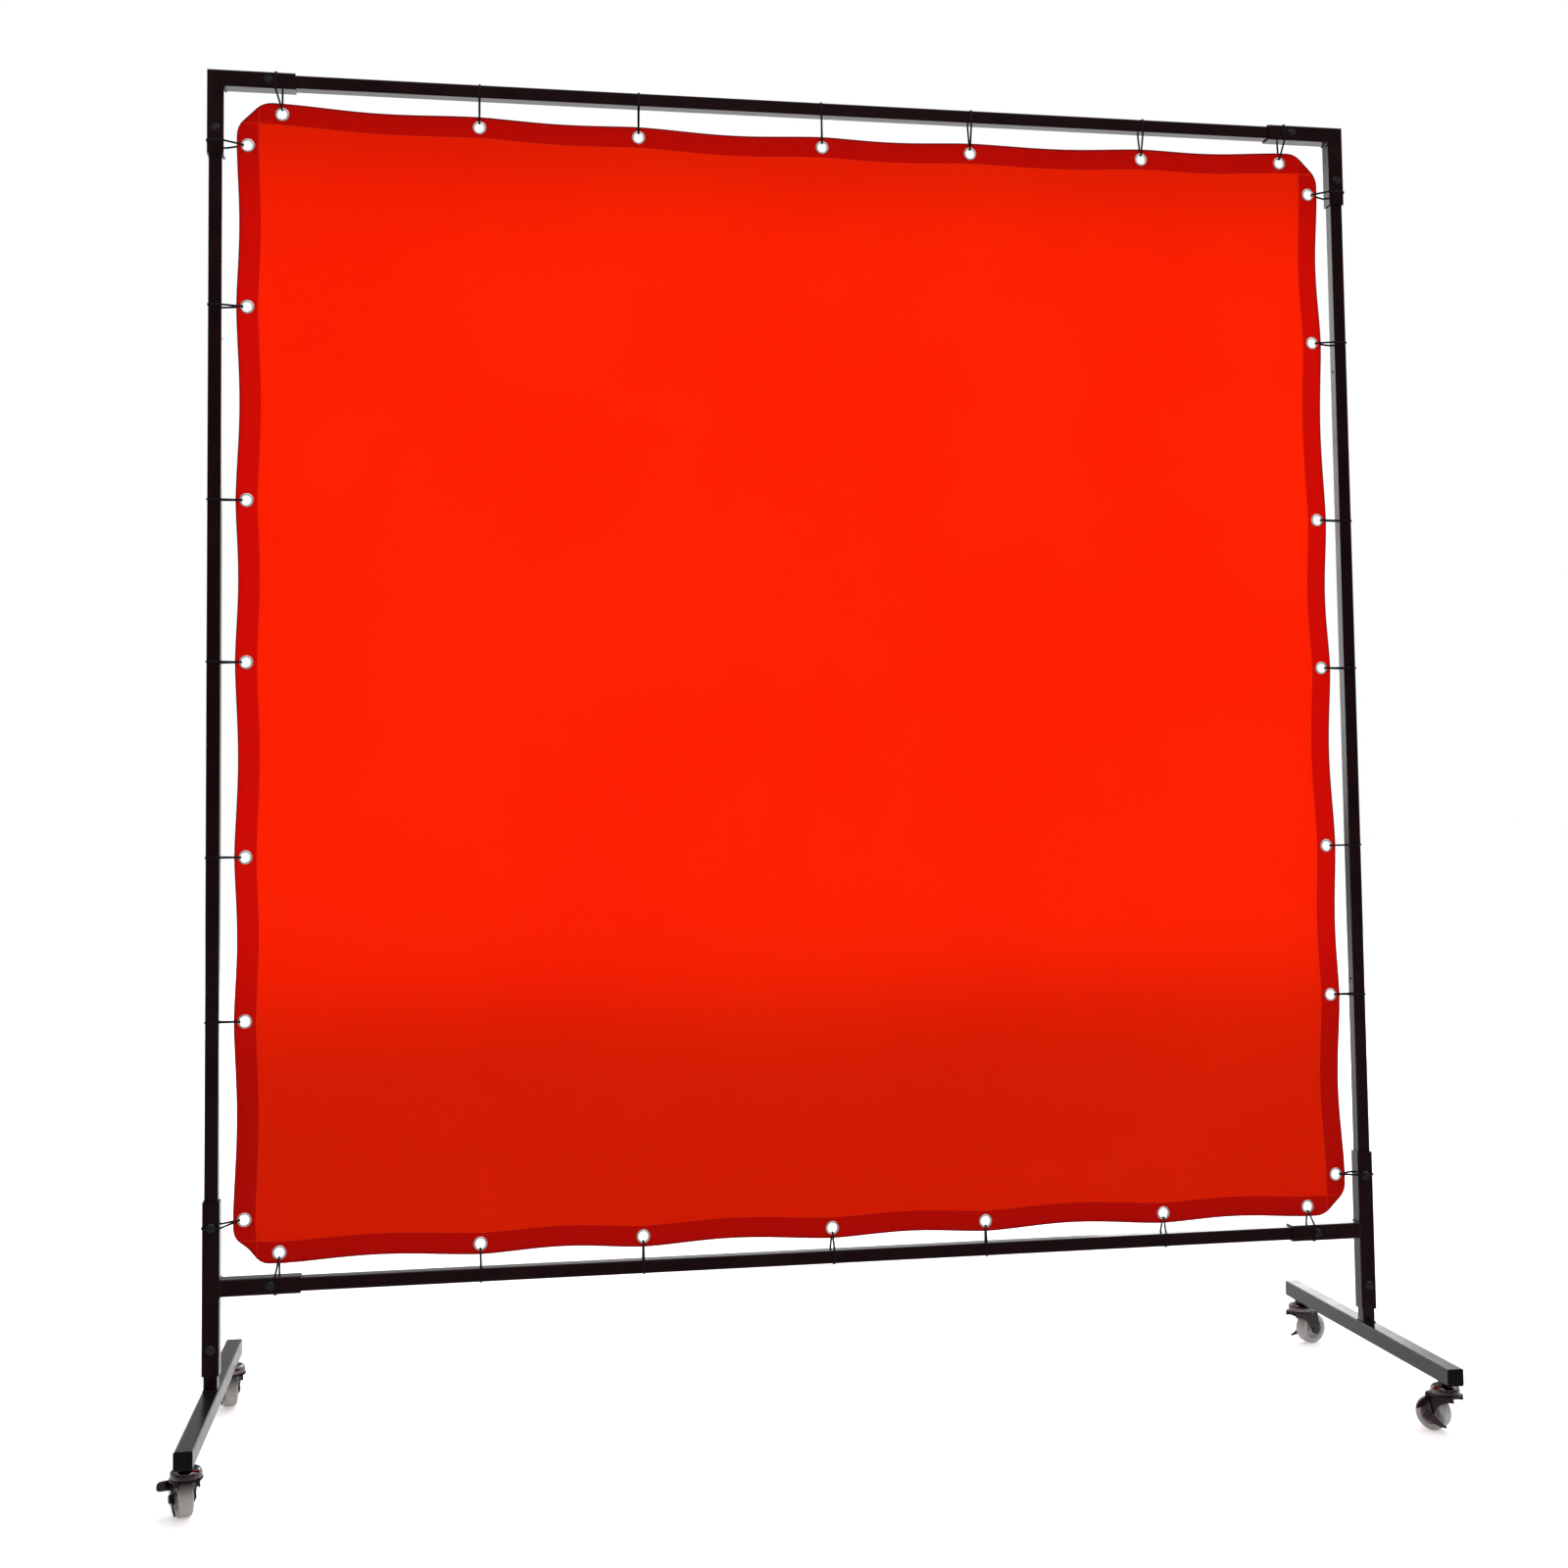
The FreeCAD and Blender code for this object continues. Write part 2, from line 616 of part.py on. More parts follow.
# ---------------------------------------------------------------------------------------------------
# Casters.  Each piece is drawn with the swivel axis on Z and the wheel trailing along +X, then turned to
# the direction its caster rests in.
# ---------------------------------------------------------------------------------------------------
axle_height = dim.wheel_size / 2
pin = dim.axle_size / 2
bearing = pin + dim.running_fit
half_fork = dim.fork_gap / 2 + dim.fork_plate
cup_top = dim.caster_height - dim.collar_height
cup_bottom = cup_top - dim.cup_skirt
lever_middle = half_fork + dim.lever_gap + dim.lever_plate / 2
RIVET_GAP = 0.3
RIVET_DEPTH = 2
RIVET_RADIUS = 7


def caster_stem(name):
    """Threaded stud, hexagon collar and riveted kingpin in one turned piece."""
    rivet_top = dim.crown_height - RIVET_GAP
    stud_top = dim.caster_height + dim.stud_height
    stud = dim.stud_size / 2
    body = new_body(name)
    revolve(
        body,
        (
            (NOWHERE, rivet_top - RIVET_DEPTH),
            (Size(RIVET_RADIUS - 1.5), rivet_top - RIVET_DEPTH),
            (Size(RIVET_RADIUS), rivet_top),
            (pin, rivet_top),
            (pin, cup_top),
            (stud, cup_top),
            (stud, stud_top - 1),
            (stud - 1, stud_top),
            (NOWHERE, stud_top),
        ),
    )
    flats = new_sketch(body, "XZ_Plane", "collar")
    draw_outline(
        flats,
        (
            (-dim.stud_flats / 2, cup_top),
            (dim.stud_flats / 2, cup_top),
            (dim.stud_flats / 2, dim.caster_height),
            (-dim.stud_flats / 2, dim.caster_height),
        ),
    )
    slab = pad(body, flats, dim.stud_flats / math.sqrt(3), both_ways=True)
    turns = body.newObject("PartDesign::PolarPattern", f"{name}_flats")
    turns.Originals = [slab]
    turns.Axis = (next(f for f in body.Origin.OriginFeatures if f.Role == "Z_Axis"), [""])
    turns.Angle = 180
    turns.Occurrences = 3
    turns.Mode = "Spacing"
    turns.Offset = 60
    body.Tip = turns
    return body


def caster_race(name):
    """Pressed upper ball race: an upturned cup."""
    outside, inside = dim.cup_size / 2, dim.cup_size / 2 - dim.cup_plate
    curve = dim.cup_round
    body = new_body(name)
    revolve(
        body,
        (
            (pin, cup_top - dim.cup_plate),
            (inside - curve + dim.cup_plate, cup_top - dim.cup_plate),
            (inside, cup_top - curve),
            (inside, cup_bottom),
            (outside, cup_bottom),
            (outside, cup_top - curve),
            (outside - curve, cup_top),
            (pin, cup_top),
        ),
        arcs={1: -(curve - dim.cup_plate), 5: curve},
    )
    return body


def caster_fork(name):
    """Pressed fork: round crown with the lower ball race, and two legs that trail to the axle."""
    axle_down = dim.crown_height - axle_height
    leg_front = -(dim.crown_size / 2 - 2)
    leg_back = dim.trail + dim.leg_end
    body = new_body(name)
    crown = new_sketch(body, "XY_Plane", "crown")
    draw_circle(crown, NOWHERE, NOWHERE, dim.crown_size / 2, "crown")
    pad(body, crown, dim.crown_plate)
    plate = new_sketch(body, "XY_Plane", "plate")
    draw_outline(
        plate,
        (
            (leg_front, -half_fork),
            (dim.trail + 4, -half_fork),
            (dim.trail + 4, half_fork),
            (leg_front, half_fork),
        ),
    )
    pad(body, plate, dim.crown_plate)
    race = new_sketch(body, "XY_Plane", "race")
    draw_circle(race, NOWHERE, NOWHERE, dim.boss_size / 2, "race")
    pad(body, race, dim.boss_height)
    legs = new_sketch(body, "XZ_Plane", "legs")
    draw_outline(
        legs,
        (
            (leg_front, dim.crown_plate),
            (leg_front - 1, Size(-6.5)),
            (dim.trail - dim.leg_end, -axle_down),
            (leg_back, -axle_down),
            (dim.trail + 4, dim.crown_plate),
        ),
        arcs={1: Size(-34)},
    )
    pad(body, legs, half_fork * 2, both_ways=True)
    ends = new_sketch(body, "XZ_Plane", "ends")
    draw_circle(ends, dim.trail, -axle_down, dim.leg_end, "end")
    pad(body, ends, half_fork * 2, both_ways=True)
    gap = new_sketch(body, "YZ_Plane", "gap")
    draw_outline(
        gap,
        (
            (-dim.fork_gap / 2, -dim.crown_height),
            (dim.fork_gap / 2, -dim.crown_height),
            (dim.fork_gap / 2, NOWHERE),
            (-dim.fork_gap / 2, NOWHERE),
        ),
    )
    pocket(body, gap)
    bore = new_sketch(body, "XZ_Plane", "bore")
    draw_circle(bore, dim.trail, -axle_down, bearing, "bore")
    pocket(body, bore)
    kingpin = new_sketch(body, "XY_Plane", "kingpin")
    draw_circle(kingpin, NOWHERE, NOWHERE, bearing, "kingpin")
    pocket(body, kingpin)
    return body


def caster_tyre(name):
    """Tyre about its own Y, with rounded shoulders."""
    shoulder = 3.5
    tread, side, rim = axle_height, dim.wheel_width / 2, dim.rim_radius
    body = new_body(name)
    revolve(
        body,
        (
            (rim, -side),
            (tread - shoulder, -side),
            (tread, -side + shoulder),
            (tread, side - shoulder),
            (tread - shoulder, side),
            (rim, side),
        ),
        plane="XY_Plane",
        arcs={1: Size(shoulder), 3: Size(shoulder)},
    )
    return body


def caster_hub(name):
    """Moulded wheel centre about its own Y: hub, thin web and rim."""
    end, rim, side = dim.hub_length / 2, dim.rim_radius, dim.wheel_width / 2
    hub, web, lip = 7.5, 4.5, 2.5
    body = new_body(name)
    revolve(
        body,
        (
            (bearing, -end),
            (Size(hub), -end),
            (Size(hub + 1), Size(-web)),
            (rim - lip - 1, Size(-web)),
            (rim - lip, -side + 0.6),
            (rim, -side + 0.6),
            (rim, side - 0.6),
            (rim - lip, side - 0.6),
            (rim - lip - 1, Size(web)),
            (Size(hub + 1), Size(web)),
            (Size(hub), end),
            (bearing, end),
        ),
        plane="XY_Plane",
    )
    return body


def caster_axle(name):
    """Riveted axle about its own Y, long enough to carry the brake lever outside the left leg."""
    head = dim.axle_head / 2
    inner = -half_fork
    outer = half_fork + dim.lever_gap * 2 + dim.lever_plate
    body = new_body(name)
    revolve(
        body,
        (
            (NOWHERE, inner - 1.8),
            (head - 1.6, inner - 1.8),
            (head, inner),
            (pin, inner),
            (pin, outer),
            (head, outer),
            (head - 1.6, outer + 1.8),
            (NOWHERE, outer + 1.8),
        ),
        plane="XY_Plane",
    )
    return body


def caster_brake(name):
    """Side brake lever: a pressed plate on the axle with a claw in front and a tread that stands out."""
    body = new_body(name)
    plate = new_sketch(body, "XZ_Plane", "plate")
    draw_outline(
        plate,
        (
            (Size(-29), Size(-14.6)),
            (Size(-1.5), Size(-8.4)),
            (Size(8.2), Size(2)),
            (Size(10.8), Size(9.6)),
            (Size(1.6), Size(25)),
            (Size(-3), Size(22.5)),
            (Size(-7.6), Size(4)),
            (Size(-29.6), Size(-12.2)),
        ),
        arcs={0: Size(60), 6: Size(-42)},
    )
    pad(body, plate, dim.lever_plate, both_ways=True)
    boss = new_sketch(body, "XZ_Plane", "boss")
    draw_circle(boss, NOWHERE, NOWHERE, dim.lever_hub, "boss")
    pad(body, boss, dim.lever_plate, both_ways=True)
    tread = new_sketch(body, "XZ_Plane", "tread")
    draw_outline(
        tread,
        (
            (Size(9.1), Size(8.6)),
            (Size(10.8), Size(9.6)),
            (Size(1.6), Size(25)),
            (Size(-0.1), Size(24)),
        ),
    )
    tongue = pad(body, tread, dim.tread_length, backwards=True)

    def is_tip(edge):
        spots = [v.Point for v in edge.Vertexes]
        outer = all(p.y > dim.tread_length.value - 0.5 for p in spots)
        return outer and edge.Length < 2 * dim.lever_plate.value

    round_edges(body, tongue, Size(7), is_tip)
    bore = new_sketch(body, "XZ_Plane", "bore")
    draw_circle(bore, NOWHERE, NOWHERE, bearing, "bore")
    pocket(body, bore)
    return body


CASTER_PIECES = (
    ("stem", caster_stem, NOWHERE, NOWHERE, NOWHERE),
    ("race", caster_race, NOWHERE, NOWHERE, NOWHERE),
    ("fork", caster_fork, NOWHERE, NOWHERE, dim.crown_height),
    ("tyre", caster_tyre, dim.trail, NOWHERE, axle_height),
    ("hub", caster_hub, dim.trail, NOWHERE, axle_height),
    ("axle", caster_axle, dim.trail, NOWHERE, axle_height),
    ("brake", caster_brake, dim.trail, lever_middle, axle_height),
)
caster_y = dim.foot_length / 2 - dim.caster_inset
CASTERS = (
    ("front_left", -upright_x, -caster_y, dim.swivel_front_left),
    ("front_right", upright_x, -caster_y, dim.swivel_front_right),
    ("rear_left", -upright_x, caster_y, dim.swivel_rear_left),
    ("rear_right", upright_x, caster_y, dim.swivel_rear_right),
)
for corner, x, y, angle in CASTERS:
    turn = Rotation(Z, angle.value)
    cosine = Size(math.cos(math.radians(angle.value)), f"cos({angle.formula} * 1 deg)")
    sine = Size(math.sin(math.radians(angle.value)), f"sin({angle.formula} * 1 deg)")
    for kind, make, along, aside, up in CASTER_PIECES:
        piece = make(f"caster_{corner}_{kind}")
        put(piece, x + along * cosine - aside * sine, y + along * sine + aside * cosine, up, turn)

swivel_axes = [Vector(x.value, y.value, 0) for corner, x, y, angle in CASTERS]
ball = Part.makeSphere(dim.ball_size.value / 2)
ball_z = (cup_top - dim.cup_plate - dim.ball_size / 2 - dim.running_fit).value
ring_r = dim.ball_circle.value / 2
ball_ring = [
    Vector(ring_r * math.cos(2 * math.pi * i / BALLS), ring_r * math.sin(2 * math.pi * i / BALLS), ball_z)
    for i in range(BALLS)
]
group("swivel_balls", [moved(ball, centre + spot) for centre in swivel_axes for spot in ball_ring])

nut_low = (dim.caster_height + dim.sleeve_wall).value
nut_tall = 8
stem_nut = hexagon(dim.stud_flats.value, nut_low, nut_tall)
stem_nut = stem_nut.cut(Part.makeCylinder(dim.stud_size.value / 2, nut_tall, Vector(0, 0, nut_low)))
group("stem_nuts", [moved(stem_nut, centre) for centre in swivel_axes])

# ---------------------------------------------------------------------------------------------------
# Check, then write one file for each node.
# ---------------------------------------------------------------------------------------------------
doc.recompute()
for item in doc.Objects:
    if "Invalid" in item.State or "Error" in item.State:
        raise RuntimeError(f"{item.Name} didn't build: {item.State}")
for piece in pieces:
    if piece.Shape.isNull() or not piece.Shape.isValid():
        raise RuntimeError(f"{piece.Label} has no valid shape")

os.makedirs("parts", exist_ok=True)
for piece in pieces:
    piece.Shape.exportStep(f"parts/{piece.Label}.step")
    print(f"{piece.Label}: {len(piece.Shape.Solids)} solids, {piece.Shape.Volume / 1000:.2f} cm3")
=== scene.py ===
import math

import bmesh
import bpy
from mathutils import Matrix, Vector
from mathutils.geometry import delaunay_2d_cdt


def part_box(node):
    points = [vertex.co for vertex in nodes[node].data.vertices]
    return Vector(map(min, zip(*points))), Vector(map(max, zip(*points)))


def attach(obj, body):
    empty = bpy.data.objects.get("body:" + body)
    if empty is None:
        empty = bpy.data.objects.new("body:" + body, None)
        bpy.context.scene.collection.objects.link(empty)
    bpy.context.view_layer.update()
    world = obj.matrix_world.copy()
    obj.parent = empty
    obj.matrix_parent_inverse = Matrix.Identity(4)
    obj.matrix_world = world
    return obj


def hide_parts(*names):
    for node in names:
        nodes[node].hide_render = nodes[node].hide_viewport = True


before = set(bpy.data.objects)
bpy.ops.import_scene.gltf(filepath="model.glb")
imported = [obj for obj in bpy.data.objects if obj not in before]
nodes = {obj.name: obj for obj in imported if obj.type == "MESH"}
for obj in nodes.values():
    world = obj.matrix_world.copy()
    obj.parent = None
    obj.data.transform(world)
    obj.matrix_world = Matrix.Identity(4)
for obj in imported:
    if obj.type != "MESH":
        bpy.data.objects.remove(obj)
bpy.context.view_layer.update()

# ---------------------------------------------------------------------------------------------------
# Feet: a 25 mm square steel tube front to back, with a 20 mm post welded upright on its middle.
# Both are powder coated gloss black after welding, so the bead round the post is black as well.
# ---------------------------------------------------------------------------------------------------
MM = 0.001


def new_finish(name, colour, roughness, metallic=0.0, **more):
    """A plain finish.  more sets further sockets of its shader."""
    material = bpy.data.materials.new(name)
    material.use_nodes = True
    shader = material.node_tree.nodes["Principled BSDF"]
    shader.inputs["Base Color"].default_value = (*colour, 1)
    shader.inputs["Roughness"].default_value = roughness
    shader.inputs["Metallic"].default_value = metallic
    for socket, value in more.items():
        shader.inputs[socket.replace("_", " ")].default_value = value
    return material


def join(tree, *links):
    for source, target in links:
        tree.links.new(source, target)


def ramp(tree, value, low, high, to_low=0.0, to_high=1.0, smooth=False):
    """value, a socket, taken from low..high to to_low..to_high and held at the ends."""
    node = tree.nodes.new("ShaderNodeMapRange")
    if smooth:
        node.interpolation_type = "SMOOTHSTEP"
    ends = {"From Min": low, "From Max": high, "To Min": to_low, "To Max": to_high}
    for socket, number in ends.items():
        node.inputs[socket].default_value = number
    tree.links.new(value, node.inputs["Value"])
    return node.outputs["Result"]


def blend(tree, share, first, second):
    """A mix of two colours, each given as numbers or as a socket."""
    node = tree.nodes.new("ShaderNodeMix")
    node.data_type = "RGBA"
    tree.links.new(share, node.inputs["Factor"])
    for socket, value in (("A", first), ("B", second)):
        if isinstance(value, tuple):
            node.inputs[socket].default_value = (*value, 1)
        else:
            tree.links.new(value, node.inputs[socket])
    return node.outputs["Result"]


def noise_on(tree, size, detail, stretch=(1, 1, 1)):
    """Noise fixed to the piece, size metres from one dimple or patch to the next."""
    place = tree.nodes.new("ShaderNodeTexCoord")
    direction = tree.nodes.new("ShaderNodeMapping")
    direction.inputs["Scale"].default_value = stretch
    noise = tree.nodes.new("ShaderNodeTexNoise")
    noise.inputs["Scale"].default_value = 1 / size
    noise.inputs["Detail"].default_value = detail
    join(
        tree,
        (place.outputs["Object"], direction.inputs["Vector"]),
        (direction.outputs["Vector"], noise.inputs["Vector"]),
    )
    return noise.outputs["Fac"]


def add_grain(material, size, depth, stretch=(1, 1, 1)):
    """A fine bump over the whole surface."""
    tree = material.node_tree
    bump = tree.nodes.new("ShaderNodeBump")
    bump.inputs["Distance"].default_value = depth
    bump.inputs["Strength"].default_value = 1.0
    join(
        tree,
        (noise_on(tree, size, 2.0, stretch), bump.inputs["Height"]),
        (bump.outputs["Normal"], tree.nodes["Principled BSDF"].inputs["Normal"]),
    )


def add_mottle(material, size, shift, roughness_shift):
    """Soft patches a little lighter or darker, duller or glossier than the rest."""
    tree = material.node_tree
    shader = tree.nodes["Principled BSDF"]
    colour = shader.inputs["Base Color"].default_value[:3]
    roughness = shader.inputs["Roughness"].default_value
    darker, lighter = (tuple(c * (1 + way * shift) for c in colour) for way in (-1, 1))
    patches = ramp(tree, noise_on(tree, size, 4.0), 0.3, 0.7)
    join(
        tree,
        (blend(tree, patches, darker, lighter), shader.inputs["Base Color"]),
        (
            ramp(tree, patches, 0.0, 1.0, roughness - roughness_shift, roughness + roughness_shift),
            shader.inputs["Roughness"],
        ),
    )


def paint(material, *names):
    for name in names:
        for slot in nodes[name].material_slots:
            slot.material = material


black_paint = new_finish("black_powder_coat", (0.009, 0.0022, 0.0026), 0.20, IOR=1.31)
add_grain(black_paint, 4 * MM, 0.006 * MM)
add_mottle(black_paint, 60 * MM, 0.25, 0.03)
foot_paint = new_finish("black_powder_coat_on_drawn_tube", (0.005, 0.008, 0.010), 0.22, IOR=1.33)
add_grain(foot_paint, 3 * MM, 0.012 * MM, stretch=(1, 0.008, 1))
add_mottle(foot_paint, 45 * MM, 0.25, 0.04)
paint(black_paint, "foot_left_post", "foot_right_post")
paint(foot_paint, "foot_left_tube", "foot_right_tube")


def new_object(name, mesh):
    piece = bpy.data.objects.new(name, mesh)
    bpy.context.scene.collection.objects.link(piece)
    return piece


def lines_object(name, paths, closed=True):
    """An object of bare edges along paths, each a list of points."""
    points, edges = [], []
    for path in paths:
        first = len(points)
        points += [tuple(p) for p in path]
        edges += [(first + i, first + i + 1) for i in range(len(path) - 1)]
        if closed:
            edges.append((len(points) - 1, first))
    mesh = bpy.data.meshes.new(name)
    mesh.from_pydata(points, edges, [])
    return new_object(name, mesh)


def new_tree(name, **sizes):
    """A Geometry Nodes tree with a geometry in and out and a named size input for each of sizes."""
    tree = bpy.data.node_groups.new(name, "GeometryNodeTree")
    face = tree.interface
    face.new_socket("Geometry", in_out="INPUT", socket_type="NodeSocketGeometry")
    for label, value in sizes.items():
        kind = "NodeSocketFloat" if isinstance(value, float) else "NodeSocketVector"
        socket = face.new_socket(label.replace("_", " "), in_out="INPUT", socket_type=kind)
        socket.default_value = value
    face.new_socket("Geometry", in_out="OUTPUT", socket_type="NodeSocketGeometry")
    return tree, tree.nodes.new("NodeGroupInput"), tree.nodes.new("NodeGroupOutput")


def end_tree(tree, outputs, geometry, material):
    """Closes a tree with Realize Instances and Set Material."""
    real = tree.nodes.new("GeometryNodeRealizeInstances")
    colour = tree.nodes.new("GeometryNodeSetMaterial")
    colour.inputs["Material"].default_value = material
    join(
        tree,
        (geometry, real.inputs["Geometry"]),
        (real.outputs["Geometry"], colour.inputs["Geometry"]),
        (colour.outputs["Geometry"], outputs.inputs["Geometry"]),
    )


def grow(piece, tree, **sizes):
    """Runs a tree on a piece and keeps the result as its plain mesh."""
    modifier = piece.modifiers.new(tree.name, "NODES")
    modifier.node_group = tree
    for item in tree.interface.items_tree:
        label = item.name.replace(" ", "_")
        if item.in_out == "INPUT" and label in sizes:
            modifier[item.identifier] = sizes[label]
    ready = bpy.context.evaluated_depsgraph_get()
    mesh = bpy.data.meshes.new_from_object(piece.evaluated_get(ready), depsgraph=ready)
    piece.modifiers.remove(modifier)
    old, piece.data = piece.data, mesh
    bpy.data.meshes.remove(old)
    return piece


def weld_tree():
    """Overlapping ripples along every edge of the piece it is given."""
    tree, start, end = new_tree("weld_bead", Bead_width=2.6 * MM, Ripple_pitch=1.1 * MM)
    line = tree.nodes.new("GeometryNodeMeshToCurve")
    steps = tree.nodes.new("GeometryNodeResampleCurve")
    steps.mode = "LENGTH"
    ripple = tree.nodes.new("GeometryNodeMeshUVSphere")
    ripple.inputs["Segments"].default_value = 10
    ripple.inputs["Rings"].default_value = 6
    half = tree.nodes.new("ShaderNodeMath")
    half.operation = "MULTIPLY"
    half.inputs[1].default_value = 0.5
    smooth = tree.nodes.new("GeometryNodeSetShadeSmooth")
    place = tree.nodes.new("GeometryNodeInstanceOnPoints")
    join(
        tree,
        (start.outputs["Geometry"], line.inputs["Mesh"]),
        (line.outputs["Curve"], steps.inputs["Curve"]),
        (start.outputs["Ripple pitch"], steps.inputs["Length"]),
        (start.outputs["Bead width"], half.inputs[0]),
        (half.outputs[0], ripple.inputs["Radius"]),
        (ripple.outputs["Mesh"], smooth.inputs["Geometry"]),
        (steps.outputs["Curve"], place.inputs["Points"]),
        (smooth.outputs["Geometry"], place.inputs["Instance"]),
    )
    end_tree(tree, end, place.outputs["Instances"], black_paint)
    return tree


def ring_at(low, high, height):
    """The four corners of a box's outline at one height."""
    return [
        (low.x, low.y, height),
        (high.x, low.y, height),
        (high.x, high.y, height),
        (low.x, high.y, height),
    ]


def finish_welds(name, paths, **sizes):
    """Weld beads along paths, as one painted piece of the frame."""
    welds = grow(lines_object(name, paths, sizes.pop("closed", True)), weld_bead, **sizes)
    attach(welds, "frame")


weld_bead = weld_tree()
BEAD_HEIGHT = 0.6 * MM
post_welds = []
for side in ("left", "right"):
    low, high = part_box(f"foot_{side}_post")
    post_welds.append(ring_at(low, high, low.z + BEAD_HEIGHT))
finish_welds("foot_post_welds", post_welds)

# ---------------------------------------------------------------------------------------------------
# Foot caps: moulded plugs of black plastic with a fine matt grain.  One is pushed into each end of both
# feet and held by the ribs of its plug inside the tube.
# ---------------------------------------------------------------------------------------------------
cap_plastic = new_finish("black_cap_plastic", (0.004, 0.004, 0.005), 0.45, IOR=1.25)
add_grain(cap_plastic, 1.2 * MM, 0.02 * MM)
add_mottle(cap_plastic, 8 * MM, 0.2, 0.05)
paint(cap_plastic, "foot_caps")

# ---------------------------------------------------------------------------------------------------
# Tees: a 25 mm sleeve that joins post and upright, with a stub for the lower rail welded to its inner
# side.  The fillet bead shows above and below the stub.
# ---------------------------------------------------------------------------------------------------
paint(black_paint, "tee_left_sleeve", "tee_right_sleeve", "tee_left_stub", "tee_right_stub")
STUB_CORNER = 2 * MM
BEAD_IN, BEAD_END = 0.4 * MM, 1.5 * MM
stub_welds = []
for side in ("left", "right"):
    low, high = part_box(f"tee_{side}_stub")
    seam = low.x if side == "left" else high.x
    stub_welds.append([
        (seam, low.y + BEAD_END, low.z),
        (seam, high.y - BEAD_END, low.z),
        (seam, high.y - BEAD_IN, low.z + STUB_CORNER),
        (seam, high.y - BEAD_IN, high.z - STUB_CORNER),
        (seam, high.y - BEAD_END, high.z),
        (seam, low.y + BEAD_END, high.z),
        (seam, low.y + BEAD_IN, high.z - STUB_CORNER),
        (seam, low.y + BEAD_IN, low.z + STUB_CORNER),
    ])
finish_welds("tee_welds", stub_welds, Bead_width=3 * MM)

# ---------------------------------------------------------------------------------------------------
# Uprights and rails: 20 mm square steel tube, cut to length and powder coated gloss black.  Their ends
# are pushed into the sleeves of tees and elbows, and each is bolted there.
# ---------------------------------------------------------------------------------------------------
paint(black_paint, "upright_left", "upright_right", "top_rail", "lower_rail")

# ---------------------------------------------------------------------------------------------------
# Elbows: two mitred lengths of 25 mm tube welded at 45 degrees.  The seams are ground nearly flat
# on the outside and left as a bead in the inner corner.
# ---------------------------------------------------------------------------------------------------
paint(
    black_paint,
    *(f"elbow_{side}_{leg}" for side in ("left", "right") for leg in ("vertical", "horizontal")),
)
SEAM_END = 2 * MM
inner_welds = []
for side in ("left", "right"):
    low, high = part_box(f"elbow_{side}_vertical")
    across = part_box(f"elbow_{side}_horizontal")[0]
    corner = high.x if side == "left" else low.x
    seam_ends = (low.y + SEAM_END, high.y - SEAM_END)
    inner_welds.append([(corner, y, across.z) for y in seam_ends])
finish_welds("elbow_welds", inner_welds, closed=False, Bead_width=4.4 * MM)

# ---------------------------------------------------------------------------------------------------
# Frame bolts: ten M6 flange bolts through sleeves and tubes, heads in front and flange nuts behind.
# They are plain steel with a black oxide finish, a little duller than the paint.
# ---------------------------------------------------------------------------------------------------
black_steel = new_finish("black_oxide_steel", (0.028, 0.027, 0.029), 0.38, 0.6)
add_grain(black_steel, 0.8 * MM, 0.01 * MM)
add_mottle(black_steel, 5 * MM, 0.3, 0.07)
paint(black_steel, "frame_bolts", "frame_nuts")

# ---------------------------------------------------------------------------------------------------
# Casters: pressed steel swivel casters on a threaded stud with a zinc plated nut.  Stud, kingpin, axle
# and stamped fork are blackened, the ball race is chrome and the brake lever polished steel, both given
# a dark red-brown colour that is painted shade and painted reflection of the dark surroundings and red
# film.
# The wheel is a grey tyre on a moulded grey centre.
# ---------------------------------------------------------------------------------------------------
zinc = new_finish("zinc_plate", (0.50, 0.50, 0.51), 0.34, 1.0)
# The race's dark red-brown colour is painted shade and painted reflection: chrome darkened for the dark
# surroundings and browned for the red film mirrored in it.
race_painted_dark = new_finish("plated_race", (0.14, 0.12, 0.12), 0.12, 1.0)
balls = new_finish("ball_steel", (0.60, 0.60, 0.61), 0.12, 1.0)
# The lever's dark red-brown colour is painted shade and painted reflection in the same way: polished
# steel darkened for the dark surroundings and browned for the red film mirrored in it.
lever_painted_dark = new_finish("brake_lever_steel", (0.065, 0.048, 0.048), 0.16, 1.0)
fork_black = new_finish("blackened_fork", (0.010, 0.005, 0.004), 0.26, IOR=1.36)
tyre_grey = new_finish("grey_tyre", (0.36, 0.355, 0.34), 0.52)
wheel_grey = new_finish("grey_wheel_plastic", (0.38, 0.385, 0.39), 0.40)
# For each finish: size of its patches, their shift in colour and in roughness, grain size, grain depth.
for finish, patch, shift, roughness_shift, dimple, depth in (
    (zinc, 3 * MM, 0.18, 0.08, 0.9 * MM, 0.006 * MM),
    (race_painted_dark, 9 * MM, 0.12, 0.05, 5 * MM, 0.004 * MM),
    (balls, 2 * MM, 0.08, 0.04, 0.8 * MM, 0.001 * MM),
    (lever_painted_dark, 7 * MM, 0.20, 0.06, 2.5 * MM, 0.012 * MM),
    (fork_black, 12 * MM, 0.30, 0.06, 1.5 * MM, 0.012 * MM),
    (tyre_grey, 10 * MM, 0.07, 0.06, 0.9 * MM, 0.020 * MM),
    (wheel_grey, 12 * MM, 0.07, 0.05, 0.7 * MM, 0.010 * MM),
):
    add_mottle(finish, patch, shift, roughness_shift)
    add_grain(finish, dimple, depth)
